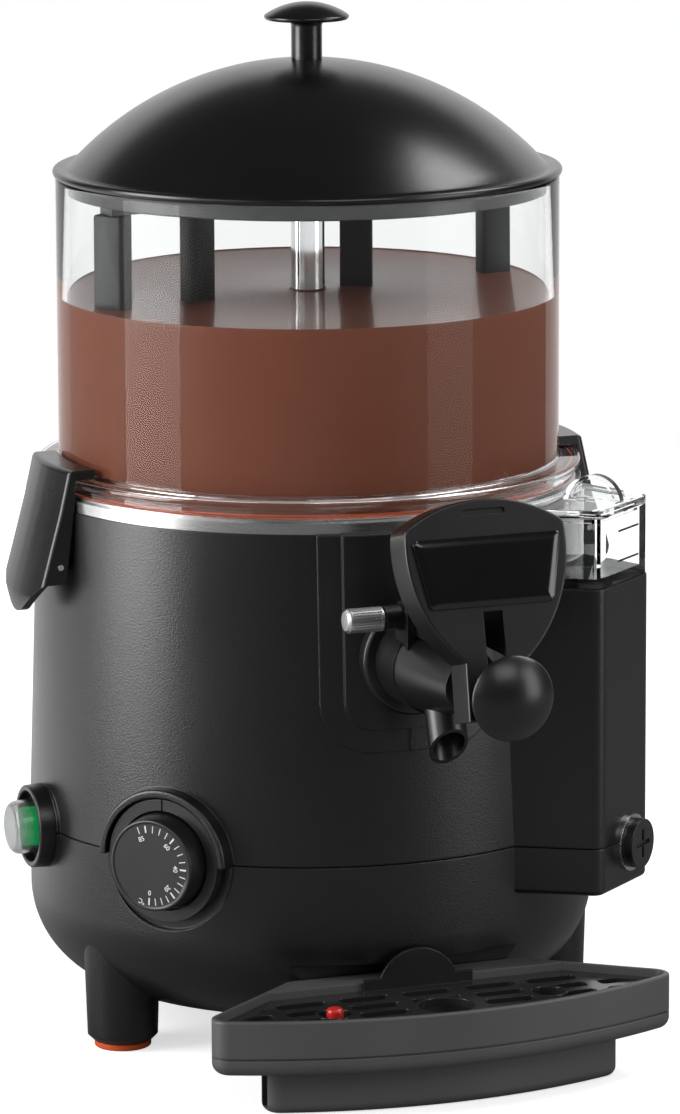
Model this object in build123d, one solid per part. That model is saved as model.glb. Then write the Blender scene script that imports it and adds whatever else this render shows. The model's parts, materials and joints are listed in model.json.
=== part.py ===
from build123d import *
import os
from math import cos, radians, sin, sqrt, tan

# Countertop hot chocolate dispenser, in millimetres and degrees.
# +Z is up, the tap points along -Y, and the origin is on the bowl's axis at the level of the counter.
# Angles about Z are counted from the front, towards +X.

# Clearances
FIT = 0.05
RUNNING = 0.08
LOOSE = 0.4
SLIDE = 0.8

# Bowl, seals and contents
BOWL_WALL = 3.5
BOWL_HEIGHT = 131.5
BOWL_EDGE = 1.0
FLANGE_INSET = 0.3
FLANGE_WIDTH = 9.3
FLANGE_HEIGHT = 7.4
FLANGE_STEP = 2.0
SEAL_OUT = 4.0
SEAL_WIDTH = 3.4
SEAL_HEIGHT = 3.2
POT_SEAL_WIDTH = 3.6
POT_SEAL_HEIGHT = 7.8
CHOCOLATE_DEPTH = 79.5
CHOCOLATE_GAP = 0.3

# Housing
BODY_SEAM_R = 124.9
BODY_TAPER = 4.9
BODY_TOP_Z = 236.4
SEAM_Z = 93.4
SEAM_GAP = 0.5
BASE_Z = 18.0
BASE_ROUND = 42.0
HOUSING_WALL = 3.0
LEG_ANGLES = (-71.8, 71.8, 150.0, -150.0)
LEG_INSET = 18.6
LEG_TOP_R = 17.3
LEG_FOOT_R = 15.4
LEG_CHAMFER = 2.6
LEG_ROOT = 50.0
PAD_R = 12.4
PAD_HEIGHT = 3.0
COVER_MARGIN = 6.9
COVER_LAP = 10.0
COVER_THICK = 2.5
COVER_SCREW_R = 1.8
COVER_SCREW_HEAD_R = 3.6
COVER_SCREW_HEAD = 2.0
GLAND_RISE = 34.0
GLAND_R = 7.0
GLAND_NUT_R = 10.0
GLAND_REACH = 14.0

# Side column, filler tank and drain
COLUMN_ANGLE = 40.0
COLUMN_OUT = 30.9
COLUMN_ROOT_IN = 24.9
COLUMN_FACE_HALF = 23.0
COLUMN_ROOT_HALF = 41.7
COLUMN_CORNER = 6.0
COLUMN_EDGE = 2.4
COLUMN_FOOT_Z = 72.4
COLUMN_DROP = 29.4
COLUMN_WALL = 2.6
TANK_INSET = 0.6
TANK_WALL = 2.0
TANK_HEIGHT = 30.6
TANK_FLOOR = 4.0
TANK_SPIGOT = 8.0
TANK_BODY_GAP = 1.2
TANK_LID_THICK = 3.2
TANK_LID_LIP = 3.0
GRIP_LENGTH = 25.0
GRIP_THICK = 8.0
GRIP_HEIGHT = 11.0
GRIP_WALL = 1.6
GRIP_OUT = 20.0
DRAIN_RISE = 18.6
DRAIN_ACROSS = 5.0
DRAIN_PIPE_R = 6.5
DRAIN_PIPE_WALL = 2.0
DRAIN_PIPE_IN = 6.9
DRAIN_PLATE_R = 12.4
DRAIN_PLATE = 1.6
DRAIN_CAP_R = 10.8
DRAIN_CAP_THICK = 4.6
DRAIN_RECESS = 2.2

# Water bath, inner pot and drive
SHEET = 1.2
RIM_INSET = 0.4
RIM_HEIGHT = 4.9
BATH_OUT = 2.0
BATH_GAP = 20.0
POT_IN = 8.5
POT_DEPTH = 72.5
TUBE_R = 7.5
TUBE_WALL = 1.5
TUBE_DROP = 13.0
SHAFT_R = 4.0
BUSH_LENGTH = 14.0
HEATER_R = 72.0
HEATER_ROD_R = 4.0
HEATER_TAIL = 16.0
HEATER_TAIL_R = 6.0
HEATER_ANGLES = (81.0, 99.0)
BRACKET_SIZE = 84.0
BRACKET_THICK = 3.0
BRACKET_STUD_R = 4.0
BRACKET_STUD = 5.0
GEARBOX_LENGTH = 92.0
GEARBOX_WIDTH = 62.0
GEARBOX_HEIGHT = 32.0
MOTOR_R = 26.0
MOTOR_LENGTH = 46.0
MOTOR_Y = 22.0

# Mixer
ARM_ANGLE = 6.7
ARM_LIFT = 0.6
ARM_HEIGHT = 4.6
ARM_WIDTH = 12.0
HUB_R = 13.0
BLADE_WIDTH = 14.5
BLADE_THICK = 8.5
BLADE_MARGIN = 12.5
BLADE_INNER_PLACES = (-54.0, 24.0)
BLADE_TWISTS = (62.5, -22.5, 27.5, 1.5)
BLADE_FOOT_RISE = 19.5
PADDLE_HEIGHT = 6.0
PADDLE_WIDTH = 9.0
SCRAPER_PLACES = (-72.0, 58.0)
SCRAPER_TWIST = 28.0
SCRAPER_GAP = 4.0

# Lid
LID_DOME_R = 140.6
LID_SHOULDER = 7.2
LID_WALL = 2.6
LIP_OVERHANG = 1.2
LIP_HEIGHT = 4.2
SKIRT_DEPTH = 7.0
SKIRT_WALL = 2.4
KNOB_R = 18.75
KNOB_RISE = 24.8
KNOB_RIM = 1.6
KNOB_DOME = 6.0
STEM_R = 6.75
KNOB_SCREW_R = 2.5
KNOB_SCREW_HEAD_R = 5.0
KNOB_SCREW_HEAD = 3.0
KNOB_SCREW_GRIP = 12.0

# Latches
LATCH_WIDTH = 52.0
LATCH_CHEEK = 3.0
LATCH_PIN_OUT = 3.4
LATCH_PIN_DROP = 23.6
LATCH_PIN_R = 1.3
LATCH_LUG_R = 2.4
LATCH_LUG_HALF = 19.0
HOOK_THICK = 4.2
HOOK_LIFT = 0.5
HOOK_REACH_GAP = 1.5
LATCH_TOP_OUT = 2.2
LATCH_WAIST_OUT = 6.4
LATCH_WAIST_DROP = 0.4
LATCH_KNEE_OUT = 8.5
LATCH_KNEE_DROP = 23.9
LATCH_TIP_OUT = 3.6
LATCH_TIP_DROP = 46.0
LATCH_PLATE = 3.7
LATCH_CHEEK_DROP = 31.2
LATCH_TONGUE_HALF = 9.0
LATCH_CHEEK_GAP = 3.4

# Tap
TAP_RISE = 13.0
PANEL_HALF = 40.0
PANEL_DROP = 40.4
PANEL_CORNER = 22.0
PANEL_THICK = 1.3
PAD_PANEL_INSET = 10.0
PAD_PANEL_THICK = 2.8
PANEL_RIB_HALF = 1.4
PIPE_R = 10.0
PIPE_WALL = 1.6
TAP_FLANGE_R = 24.3
TAP_FLANGE_THICK = 4.5
BARREL_COLLAR_R = 19.5
BARREL_COLLAR = 20.0
BARREL_ROOT_R = 18.8
BARREL_END_R = 11.5
BARREL_LENGTH = 59.5
BORE_R = 8.0
BORE_END = 22.6
SPOUT_R = 8.4
SPOUT_WALL = 1.5
SPOUT_OUT = 30.37
SPOUT_LEAN = 19.0
SPOUT_BACK_DROP = 39.0
SPOUT_FRONT_DROP = 22.0
PIVOT_OUT = 18.87
PIVOT_ARM = 23.0
PIVOT_R = 3.0
EAR_R = 7.0
EAR_INNER = 11.4
EAR_THICK = 3.6
BOSS_R = 5.4
BOSS_LENGTH = 8.4
SCREW_HEAD_R = 5.2
SCREW_HEAD_LENGTH = 16.6
PISTON_HEAD = 6.0
PISTON_ROD_R = 5.0
PISTON_REACH = 28.0
PISTON_GUIDE = 4.0
PISTON_RING_WIDTH = 1.2
PISTON_RING_DEPTH = 1.6
LEVER_HALF = 3.5
LEVER_DEPTH = 8.0
LEVER_EYE_R = 6.4
LEVER_TOE_R = 2.0
LEVER_TOE_HALF = 1.6
LEVER_SHANK_R = 4.0
LEVER_SHANK = 9.0
LEVER_REACH = 85.0
LEVER_FALL = 18.7
TAP_KNOB_R = 18.25
TAP_KNOB_DOME = 7.5
TAP_KNOB_RIM = 1.6
TAP_KNOB_NECK_R = 7.0

# Shield
SHIELD_OUT = 68.7
SHIELD_FALL = 6.4
SHIELD_LEAN = 14.5
SHIELD_TOP = 66.9
SHIELD_SHOULDER = 56.0
SHIELD_SHOULDER_HALF = 35.0
SHIELD_SIDE = 24.0
SHIELD_SIDE_HALF = 31.0
SHIELD_WAIST_HALF = 13.8
SHIELD_FOOT = 24.0
SHIELD_FOOT_HALF = 14.6
SHIELD_CORNER = 5.0
SHIELD_EDGE = 1.0
SHIELD_DEPTH = 17.0
SHIELD_WALL = 2.4
SHIELD_SLOT_GAP = 0.8
SHIELD_SLOT_TOP = 20.6
SHIELD_SLOT_FOOT = 20.0
SHIELD_GROOVE_HALF = 9.5
SHIELD_GROOVE_HEIGHT = 2.4
SHIELD_GROOVE_DROP = 5.4
CHEEK_THICK = 3.6
PLATE_TOP = 51.4
PLATE_TOP_HALF = 33.0
PLATE_FOOT = 22.7
PLATE_FOOT_HALF = 27.2
PLATE_THICK = 2.0
PLATE_CORNER = 2.0

# Thermostat dial
DIAL_ANGLE = -50.5
DIAL_COLLAR_R = 31.2
DIAL_COLLAR_WALL = 3.2
DIAL_COLLAR_ROUND = 1.2
DIAL_COLLAR_OUT = 4.5
DIAL_SEAT_IN = 2.9
DIAL_RING_GAP = 1.2
DIAL_RING_THICK = 5.5
DIAL_R = 19.8
DIAL_ROOT_R = 21.4
DIAL_LENGTH = 15.2
DIAL_EDGE = 0.75
DIAL_INDEX = 1.0
SPINDLE_R = 3.0
THERMOSTAT_WIDTH = 34.0
THERMOSTAT_HEIGHT = 40.0
THERMOSTAT_DEPTH = 26.0

# Power switch
SWITCH_ANGLE = -90.0
SWITCH_COLLAR_R = 18.4
SWITCH_COLLAR_WALL = 2.8
SWITCH_COLLAR_LENGTH = 7.3
SWITCH_COLLAR_FLOOR = 2.2
SWITCH_SEAT_OUT = 0.3
BOOT_R = 12.0
BOOT_WALL = 1.2
BOOT_LENGTH = 15.4
BOOT_ROUND = 4.0
SWITCH_BODY_R = 11.0
SWITCH_BODY_LENGTH = 28.0
ROCKER_GAP = 2.2
ROCKER_LENGTH = 8.6
ROCKER_PIN_R = 1.5
ROCKER_PIN_RISE = 3.4

# Drip tray
TRAY_IN = 12.4
TRAY_DEPTH = 73.5
TRAY_ARC_R = 240.0
TRAY_HALF = 110.5
TRAY_BACK_HALF = 53.5
TRAY_CORNER = 8.0
TRAY_RIM_Z = 43.5
TRAY_BAND_Z = 27.2
TRAY_BAND_GROOVE = 0.7
TRAY_SHOULDER_Z = 19.5
TRAY_SHOULDER_ROUND = 5.0
TRAY_FOOT_ROUND = 4.0
TRAY_RIM_ROUND = 0.8
TRAY_STEP = 12.0
TRAY_WALL = 2.4
TRAY_FLOOR = 2.4
TRAY_LEDGE = 3.0
NOTCH_RISE = 6.5
NOTCH_WALL = 2.6
NOTCH_GAP = 0.6
GRID_DROP = 3.5
GRID_THICK = 3.6
GRID_GAP = 0.5
GRID_FIRST_ROW = 26.5
GRID_ROW_PITCH = 12.0
GRID_ROWS = 4
GRID_COLUMN_PITCH = 28.5
GRID_COLUMNS = 7
GRID_SLOT_LENGTH = 22.5
GRID_SLOT_WIDTH = 7.4
GRID_BORDER = 5.0
GRID_HOLE_R = 12.0
GRID_HOLE_OUT = 48.5
FLOAT_HOLE_R = 7.0
FLOAT_X = 48.6
FLOAT_OUT = 43.5
TAB_OUT = 2.5
TAB_THICK = 1.6
TAB_R = 18.6
TAB_FOOT_HALF = 25.0
TAB_FOOT_RISE = 5.0
TAB_RISE = 17.0
FLOAT_R = 3.6
FLOAT_STEM_R = 2.4
FLOAT_RISE = 2.6
FLOAT_CAP = 4.6
FLOAT_BUOY_R = 8.0
FLOAT_BUOY = 9.0

UP = (Align.CENTER, Align.CENTER, Align.MIN)
FAR = 600.0

# Levels that follow from the sizes above
RIM_TOP_Z = BODY_TOP_Z + RIM_HEIGHT
BOWL_FOOT_Z = RIM_TOP_Z + SHEET
FLANGE_TOP_Z = BOWL_FOOT_Z + FLANGE_HEIGHT
BOWL_TOP_Z = BOWL_FOOT_Z + BOWL_HEIGHT
CHOCOLATE_Z = BOWL_FOOT_Z + CHOCOLATE_DEPTH
LIP_FOOT_Z = BOWL_TOP_Z + LOOSE
POT_FLOOR_Z = BOWL_FOOT_Z - POT_DEPTH
BATH_FLOOR_Z = POT_FLOOR_Z - BATH_GAP
TUBE_TOP_Z = BOWL_TOP_Z - TUBE_DROP
ARM_Z = TUBE_TOP_Z + ARM_LIFT
BLADE_FOOT_Z = BOWL_FOOT_Z + BLADE_FOOT_RISE
LATCH_PIN_Z = BODY_TOP_Z - LATCH_PIN_DROP
LATCH_TIP_Z = BODY_TOP_Z - LATCH_TIP_DROP
LATCH_CHEEK_FOOT_Z = BODY_TOP_Z - LATCH_CHEEK_DROP
COLUMN_TOP_Z = BODY_TOP_Z - COLUMN_DROP
TANK_TOP_Z = COLUMN_TOP_Z + TANK_HEIGHT
DRAIN_Z = COLUMN_FOOT_Z + DRAIN_RISE
GLAND_Z = BASE_Z + GLAND_RISE
GRID_TOP_Z = TRAY_RIM_Z - GRID_DROP
TAP_Z = POT_FLOOR_Z + TAP_RISE
PIVOT_Z = TAP_Z + PIVOT_ARM
TAP_KNOB_Z = PIVOT_Z - LEVER_FALL
SHIELD_Z = PIVOT_Z - SHIELD_FALL


def body_radius(height):
    """Outer radius of the upper housing at a height."""
    share = (height - SEAM_Z) / (BODY_TOP_Z - SEAM_Z)
    return BODY_SEAM_R - BODY_TAPER * share


# Radii that follow from the sizes above
BODY_TOP_R = BODY_SEAM_R - BODY_TAPER
INSIDE_R = BODY_TOP_R - 6 * HOUSING_WALL
RIM_R = BODY_TOP_R - RIM_INSET
FLANGE_R = RIM_R - FLANGE_INSET
BOWL_R = FLANGE_R - FLANGE_WIDTH
BOWL_BORE_R = BOWL_R - BOWL_WALL
BATH_R = BOWL_R + BATH_OUT
POT_R = BOWL_R - POT_IN
POT_BORE_R = POT_R - SHEET
LIP_R = BOWL_R + LIP_OVERHANG
LATCH_CLEAR_R = RIM_R + LOOSE
LATCH_PIN_X = body_radius(LATCH_PIN_Z) + LATCH_PIN_OUT
LATCH_KNEE_R = LATCH_PIN_X + LATCH_KNEE_OUT
LEG_CIRCLE_R = BODY_SEAM_R - LEG_INSET
COVER_R = BODY_SEAM_R - BASE_ROUND - COVER_MARGIN
HATCH_R = COVER_R - COVER_LAP
COLUMN_REACH = BODY_SEAM_R + COLUMN_OUT
COLUMN_ROOT_REACH = BODY_SEAM_R - COLUMN_ROOT_IN
BLADE_PLACES = (BLADE_MARGIN - BOWL_BORE_R, *BLADE_INNER_PLACES, BOWL_BORE_R - BLADE_MARGIN)
CHEEK_INNER = EAR_INNER - CHEEK_THICK - LOOSE / 2
ROCKER_R = BOOT_R - BOOT_WALL - ROCKER_GAP

# Distances from the machine's axis that follow from the sizes above
TAP_SEAT = body_radius(TAP_Z) + PAD_PANEL_THICK + TAP_FLANGE_THICK
BARREL_REACH = TAP_SEAT + BARREL_LENGTH
SPOUT_ROOT_Y = -TAP_SEAT - SPOUT_OUT
PIVOT_Y = -TAP_SEAT - PIVOT_OUT
TAP_KNOB_Y = PIVOT_Y - LEVER_REACH
SHIELD_Y = PIVOT_Y - SHIELD_OUT
DIAL_SEAT = BODY_SEAM_R - DIAL_SEAT_IN
DIAL_FOOT = DIAL_SEAT + LOOSE
SWITCH_SEAT = BODY_SEAM_R + SWITCH_SEAT_OUT
TRAY_BACK_Y = TRAY_IN - BODY_SEAM_R
TRAY_FRONT_Y = TRAY_BACK_Y - TRAY_DEPTH
TAB_Y = -BODY_SEAM_R - TAB_OUT
FLOAT_Y = TRAY_BACK_Y - FLOAT_OUT


def face(*lines):
    """Flat face inside a closed run of lines and arcs."""
    edges = []
    for line in lines:
        edges.extend(line.edges())
    return make_face(edges)


def polygon(*points):
    """Flat face with straight sides."""
    return face(Polyline(*points, close=True))


def lathe(*points):
    """Solid turned about Z from a straight-sided outline in radius and height."""
    return revolve(Plane.XZ * polygon(*points), Axis.Z)


def block(x, y, z):
    """Box between two limits along each axis."""
    size = [high - low for low, high in (x, y, z)]
    return Pos(x[0], y[0], z[0]) * Box(*size, align=(Align.MIN, Align.MIN, Align.MIN))


def rod(radius, start, end):
    """Round bar between two points."""
    run = Vector(*end) - Vector(*start)
    return Plane(origin=start, z_dir=run) * Cylinder(radius, run.length, align=UP)


def upright(radius, low, high):
    """Round bar along the machine's axis."""
    return rod(radius, (0, 0, low), (0, 0, high))


def facing(angle, reach, height, across=0.0):
    """Plane that faces outwards at an angle round the machine."""
    outwards = Vector(sin(radians(angle)), -cos(radians(angle)), 0)
    sideways = Vector(cos(radians(angle)), sin(radians(angle)), 0)
    origin = outwards * reach + sideways * across + Vector(0, 0, height)
    return Plane(origin=origin, x_dir=sideways, z_dir=outwards)


def peg(angle, height, radius, near, far, across=0.0):
    """Round bar that points outwards at an angle round the machine."""
    return facing(angle, near, height, across) * Cylinder(radius, far - near, align=UP)


def round_peg(angle, height, radius, near, far, edge):
    """Round bar that points outwards, with its outer edge rounded."""
    bar = peg(angle, height, radius, near, far)
    outwards = Axis((0, 0, 0), facing(angle, 0, 0).z_dir)
    return fillet(bar.faces().sort_by(outwards)[-1].edges(), edge)


def cap_arc(radius, edge, rise):
    """Arc of a round cap in radius and height, from its edge to the axis."""
    curve = (radius**2 + rise**2) / (2 * rise)
    half = radius / 2
    middle = edge + rise - curve + sqrt(curve**2 - half**2)
    return ThreePointArc((radius, edge), (half, middle), (0, edge + rise))


def body_form(inset):
    """Round body of the housing, drawn in by a wall."""
    round_r = BODY_SEAM_R - BASE_ROUND
    round_z = BASE_Z + BASE_ROUND
    foot = Line((0, BASE_Z + inset), (round_r, BASE_Z + inset))
    corner = CenterArc((round_r, round_z), BASE_ROUND - inset, 270, 90)
    side = Polyline(
        (BODY_SEAM_R - inset, round_z),
        (BODY_SEAM_R - inset, SEAM_Z),
        (BODY_TOP_R - inset, BODY_TOP_Z - inset),
        (0, BODY_TOP_Z - inset),
        (0, BASE_Z + inset),
    )
    return revolve(Plane.XZ * face(foot, corner, side), Axis.Z)


def column_plan(inset):
    """Plan of the side column, drawn in by a wall, as seen with its face to the front."""
    plan = polygon(
        (-COLUMN_ROOT_HALF, -COLUMN_ROOT_REACH),
        (-COLUMN_FACE_HALF, -COLUMN_REACH),
        (COLUMN_FACE_HALF, -COLUMN_REACH),
        (COLUMN_ROOT_HALF, -COLUMN_ROOT_REACH),
    )
    plan = fillet(plan.vertices().sort_by(Axis.Y)[:2], COLUMN_CORNER)
    return offset(plan, -inset) if inset else plan


def column_form(inset, low, high):
    """Side column or what stands on it, between two heights."""
    return Rot(0, 0, COLUMN_ANGLE) * Pos(0, 0, low) * extrude(column_plan(inset), high - low)


def column_block():
    """Outside of the side column, with its lower edges rounded."""
    column = column_form(0, COLUMN_FOOT_Z, COLUMN_TOP_Z)
    return fillet(column.faces().sort_by(Axis.Z)[0].edges(), COLUMN_EDGE)


def leg(angle):
    """One tapered leg, from its foot pad up into the round of the lower housing."""
    outline = (
        (0, PAD_HEIGHT),
        (LEG_FOOT_R - LEG_CHAMFER, PAD_HEIGHT),
        (LEG_FOOT_R, PAD_HEIGHT + LEG_CHAMFER),
        (LEG_TOP_R, BASE_Z + LEG_ROOT),
        (0, BASE_Z + LEG_ROOT),
    )
    place = facing(angle, LEG_CIRCLE_R, 0).origin
    return Pos(place) * lathe(*outline)


def latch_lug(side):
    """Lug on the housing that carries a latch's pin."""
    half = LATCH_LUG_HALF
    root = BODY_TOP_R - HOUSING_WALL
    eye = rod(LATCH_LUG_R, (LATCH_PIN_X, -half, LATCH_PIN_Z), (LATCH_PIN_X, half, LATCH_PIN_Z))
    depth = (LATCH_PIN_Z - LATCH_LUG_R, LATCH_PIN_Z + LATCH_LUG_R)
    lug = eye + block((root - half, LATCH_PIN_X), (-half, half), depth)
    return lug if side > 0 else mirror(lug, Plane.YZ)


def latch_pin(side):
    """Pin of one latch."""
    half = LATCH_WIDTH / 2 + LOOSE
    place = side * LATCH_PIN_X
    return rod(LATCH_PIN_R, (place, -half, LATCH_PIN_Z), (place, half, LATCH_PIN_Z))


def tray_plan(inset):
    """Plan of the drip tray, drawn in all round."""
    side_y = TRAY_FRONT_Y + TRAY_ARC_R - sqrt(TRAY_ARC_R**2 - TRAY_HALF**2)
    front = ThreePointArc((-TRAY_HALF, side_y), (0, TRAY_FRONT_Y), (TRAY_HALF, side_y))
    back = Polyline(
        (TRAY_HALF, side_y),
        (TRAY_BACK_HALF, TRAY_BACK_Y),
        (-TRAY_BACK_HALF, TRAY_BACK_Y),
        (-TRAY_HALF, side_y),
    )
    plan = face(front, back)
    plan = fillet(plan.vertices().sort_by(Axis.Y)[:2], TRAY_CORNER)
    return offset(plan, -inset) if inset else plan


def tray_form(inset, low, high):
    """Layer of the drip tray between two heights."""
    return Pos(0, 0, low) * extrude(tray_plan(inset), high - low)


def tray_notch(grow):
    """Space in the lower housing that takes the tray's back, grown by a wall."""
    half = TRAY_BACK_HALF + NOTCH_GAP + grow
    top = TRAY_RIM_Z + NOTCH_RISE + grow
    return block((-half, half), (-FAR, TRAY_BACK_Y + NOTCH_GAP + grow), (BASE_Z, top))


def housing():
    """Both halves of the housing as one shell."""
    solid = body_form(0)
    solid += column_block()
    solid += round_peg(
        DIAL_ANGLE, SEAM_Z, DIAL_COLLAR_R, INSIDE_R, BODY_SEAM_R + DIAL_COLLAR_OUT, DIAL_COLLAR_ROUND
    )
    solid += peg(SWITCH_ANGLE, SEAM_Z, SWITCH_COLLAR_R, INSIDE_R, SWITCH_SEAT)
    solid += latch_lug(1)
    solid += latch_lug(-1)
    for angle in LEG_ANGLES:
        solid += leg(angle)
    hollow = body_form(HOUSING_WALL)
    hollow += column_form(COLUMN_WALL, COLUMN_FOOT_Z + COLUMN_WALL, FAR)
    hollow -= body_form(0) - body_form(HOUSING_WALL) - column_form(COLUMN_WALL, COLUMN_FOOT_Z, COLUMN_TOP_Z)
    shell = solid - hollow
    shell += tray_notch(NOTCH_WALL) & body_form(0)
    shell -= tray_notch(0)
    shell -= upright(BATH_R + LOOSE, BODY_TOP_Z - 2 * HOUSING_WALL, FAR)
    shell -= upright(HATCH_R, 0, BASE_Z + 2 * HOUSING_WALL)
    shell += peg(DIAL_ANGLE, SEAM_Z, DIAL_COLLAR_R, DIAL_SEAT - HOUSING_WALL, DIAL_SEAT)
    shell -= peg(DIAL_ANGLE, SEAM_Z, DIAL_COLLAR_R - DIAL_COLLAR_WALL, DIAL_SEAT, FAR)
    shell -= peg(DIAL_ANGLE, SEAM_Z, DIAL_COLLAR_R, DIAL_SEAT, FAR) & half_space(0, SEAM_Z)
    shell -= peg(DIAL_ANGLE, SEAM_Z, SPINDLE_R + RUNNING, INSIDE_R, FAR)
    shell -= peg(SWITCH_ANGLE, SEAM_Z, SWITCH_BODY_R + FIT, INSIDE_R, FAR)
    shell -= peg(COLUMN_ANGLE, DRAIN_Z, DRAIN_PIPE_R + FIT, BODY_SEAM_R, FAR, DRAIN_ACROSS)
    shell -= peg(0, TAP_Z, PIPE_R + FIT, INSIDE_R, FAR)
    shell -= peg(180, GLAND_Z, GLAND_R + FIT, INSIDE_R, FAR)
    for side in (1, -1):
        shell -= latch_pin(side)
    for place in cover_screw_places():
        shell -= rod(COVER_SCREW_R + FIT, (*place, 0), (*place, BASE_Z + HOUSING_WALL))
    return shell


def cover_screw_places():
    """Plan places of the screws through the base cover."""
    middle = (HATCH_R + COVER_R) / 2
    return [(middle * cos(radians(angle)), middle * sin(radians(angle))) for angle in (45, 135, 225, 315)]


def base_cover():
    """Round plate that closes the underside."""
    plate = upright(COVER_R, BASE_Z - COVER_THICK, BASE_Z)
    for place in cover_screw_places():
        plate -= rod(COVER_SCREW_R + FIT, (*place, 0), (*place, BASE_Z))
    return plate


def base_screws():
    """Screws of the base cover."""
    seat = BASE_Z - COVER_THICK
    screws = []
    for place in cover_screw_places():
        head = rod(COVER_SCREW_HEAD_R, (*place, seat - COVER_SCREW_HEAD), (*place, seat))
        screws.append(head + rod(COVER_SCREW_R, (*place, seat), (*place, BASE_Z + HOUSING_WALL)))
    return Compound(children=screws)


def foot_pads():
    """Silicone pads under the legs."""
    places = [facing(angle, LEG_CIRCLE_R, 0).origin for angle in LEG_ANGLES]
    return Compound(children=[Pos(place) * Cylinder(PAD_R, PAD_HEIGHT, align=UP) for place in places])


def cable_gland():
    """Gland at the back where the mains lead goes in."""
    inner = BODY_SEAM_R - GLAND_REACH
    gland = peg(180, GLAND_Z, GLAND_NUT_R, inner, BODY_SEAM_R + GLAND_REACH / 2) - body_form(-FIT)
    gland += peg(180, GLAND_Z, GLAND_R, inner, BODY_SEAM_R + GLAND_REACH)
    return gland - peg(180, GLAND_Z, GLAND_R / 2, 0, FAR)


def water_bath():
    """Outer steel vessel whose rim shows between the housing and the bowl."""
    vessel = lathe(
        (0, BATH_FLOOR_Z),
        (BATH_R, BATH_FLOOR_Z),
        (BATH_R, BODY_TOP_Z),
        (RIM_R, BODY_TOP_Z),
        (RIM_R, RIM_TOP_Z),
        (BATH_R - SHEET, RIM_TOP_Z),
        (BATH_R - SHEET, BATH_FLOOR_Z + SHEET),
        (0, BATH_FLOOR_Z + SHEET),
    )
    vessel -= upright(TUBE_R + FIT, BATH_FLOOR_Z, BATH_FLOOR_Z + SHEET)
    vessel -= peg(0, TAP_Z, PIPE_R + FIT, POT_R, FAR)
    for place in heater_tails():
        vessel -= rod(HEATER_TAIL_R + FIT, (*place, 0), (*place, POT_FLOOR_Z))
    return vessel


def inner_pot():
    """Inner steel pot that hangs in the water bath by its flange."""
    pot = lathe(
        (0, POT_FLOOR_Z),
        (POT_R, POT_FLOOR_Z),
        (POT_R, RIM_TOP_Z),
        (FLANGE_R - FLANGE_STEP, RIM_TOP_Z),
        (FLANGE_R - FLANGE_STEP, BOWL_FOOT_Z),
        (POT_BORE_R, BOWL_FOOT_Z),
        (POT_BORE_R, POT_FLOOR_Z + SHEET),
        (0, POT_FLOOR_Z + SHEET),
    )
    pot -= upright(TUBE_R + FIT, POT_FLOOR_Z, POT_FLOOR_Z + SHEET)
    return pot - peg(0, TAP_Z, PIPE_R + FIT, POT_R / 2, FAR)


def outlet_pipe():
    """Pipe from the inner pot to the tap."""
    pipe = peg(0, TAP_Z, PIPE_R, POT_BORE_R / 2, TAP_SEAT)
    pipe -= peg(0, TAP_Z, PIPE_R - PIPE_WALL, 0, FAR)
    return pipe - upright(POT_BORE_R, 0, FAR)


def heater_tails():
    """Plan places of the heating element's two ends."""
    return [(HEATER_R * sin(radians(angle)), HEATER_R * cos(radians(angle))) for angle in HEATER_ANGLES]


def heating_element():
    """Round heating rod in the water under the pot, with its two tails through the floor."""
    middle = (BATH_FLOOR_Z + SHEET + POT_FLOOR_Z) / 2
    element = Pos(0, 0, middle) * Torus(HEATER_R, HEATER_ROD_R)
    for place in heater_tails():
        low = BATH_FLOOR_Z - HEATER_TAIL
        element += rod(HEATER_TAIL_R, (*place, low), (*place, middle + HEATER_TAIL_R))
    return element


def centre_tube():
    """Bright tube on the axis, which keeps the drive shaft dry."""
    return upright(TUBE_R, BATH_FLOOR_Z, TUBE_TOP_Z) - upright(TUBE_R - TUBE_WALL, 0, FAR)


def shaft_bushes():
    """Bushes at both ends of the centre tube."""
    bushes = []
    for low in (BATH_FLOOR_Z, TUBE_TOP_Z - BUSH_LENGTH):
        bush = upright(TUBE_R - TUBE_WALL - FIT, low, low + BUSH_LENGTH)
        bushes.append(bush - upright(SHAFT_R + RUNNING, 0, FAR))
    return Compound(children=bushes)


def drive_shaft():
    """Shaft from the gear motor up to the mixer's hub."""
    return upright(SHAFT_R, gearbox_top() - GEARBOX_HEIGHT / 2, ARM_Z + ARM_HEIGHT / 2)


def gearbox_top():
    """Height of the gear motor's upper face."""
    return BATH_FLOOR_Z - BRACKET_STUD - BRACKET_THICK


def motor_bracket():
    """Plate on four studs under the water bath."""
    half = BRACKET_SIZE / 2
    low = gearbox_top()
    plate = block((-half, half), (-half, half), (low, low + BRACKET_THICK))
    place = half - 2 * BRACKET_STUD_R
    for x in (-place, place):
        for y in (-place, place):
            plate += rod(BRACKET_STUD_R, (x, y, low + BRACKET_THICK), (x, y, BATH_FLOOR_Z))
    return plate - upright(SHAFT_R + LOOSE, 0, FAR)


def gear_motor():
    """Gearbox with its motor hanging under it, towards the back."""
    top = gearbox_top()
    low = top - GEARBOX_HEIGHT
    half = GEARBOX_WIDTH / 2
    box = block((-half, half), (MOTOR_Y - GEARBOX_LENGTH / 2, MOTOR_Y + GEARBOX_LENGTH / 2), (low, top))
    can = rod(MOTOR_R, (0, MOTOR_Y, low - MOTOR_LENGTH), (0, MOTOR_Y, low))
    return box + can - upright(SHAFT_R + RUNNING, low + HOUSING_WALL, top)


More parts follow.
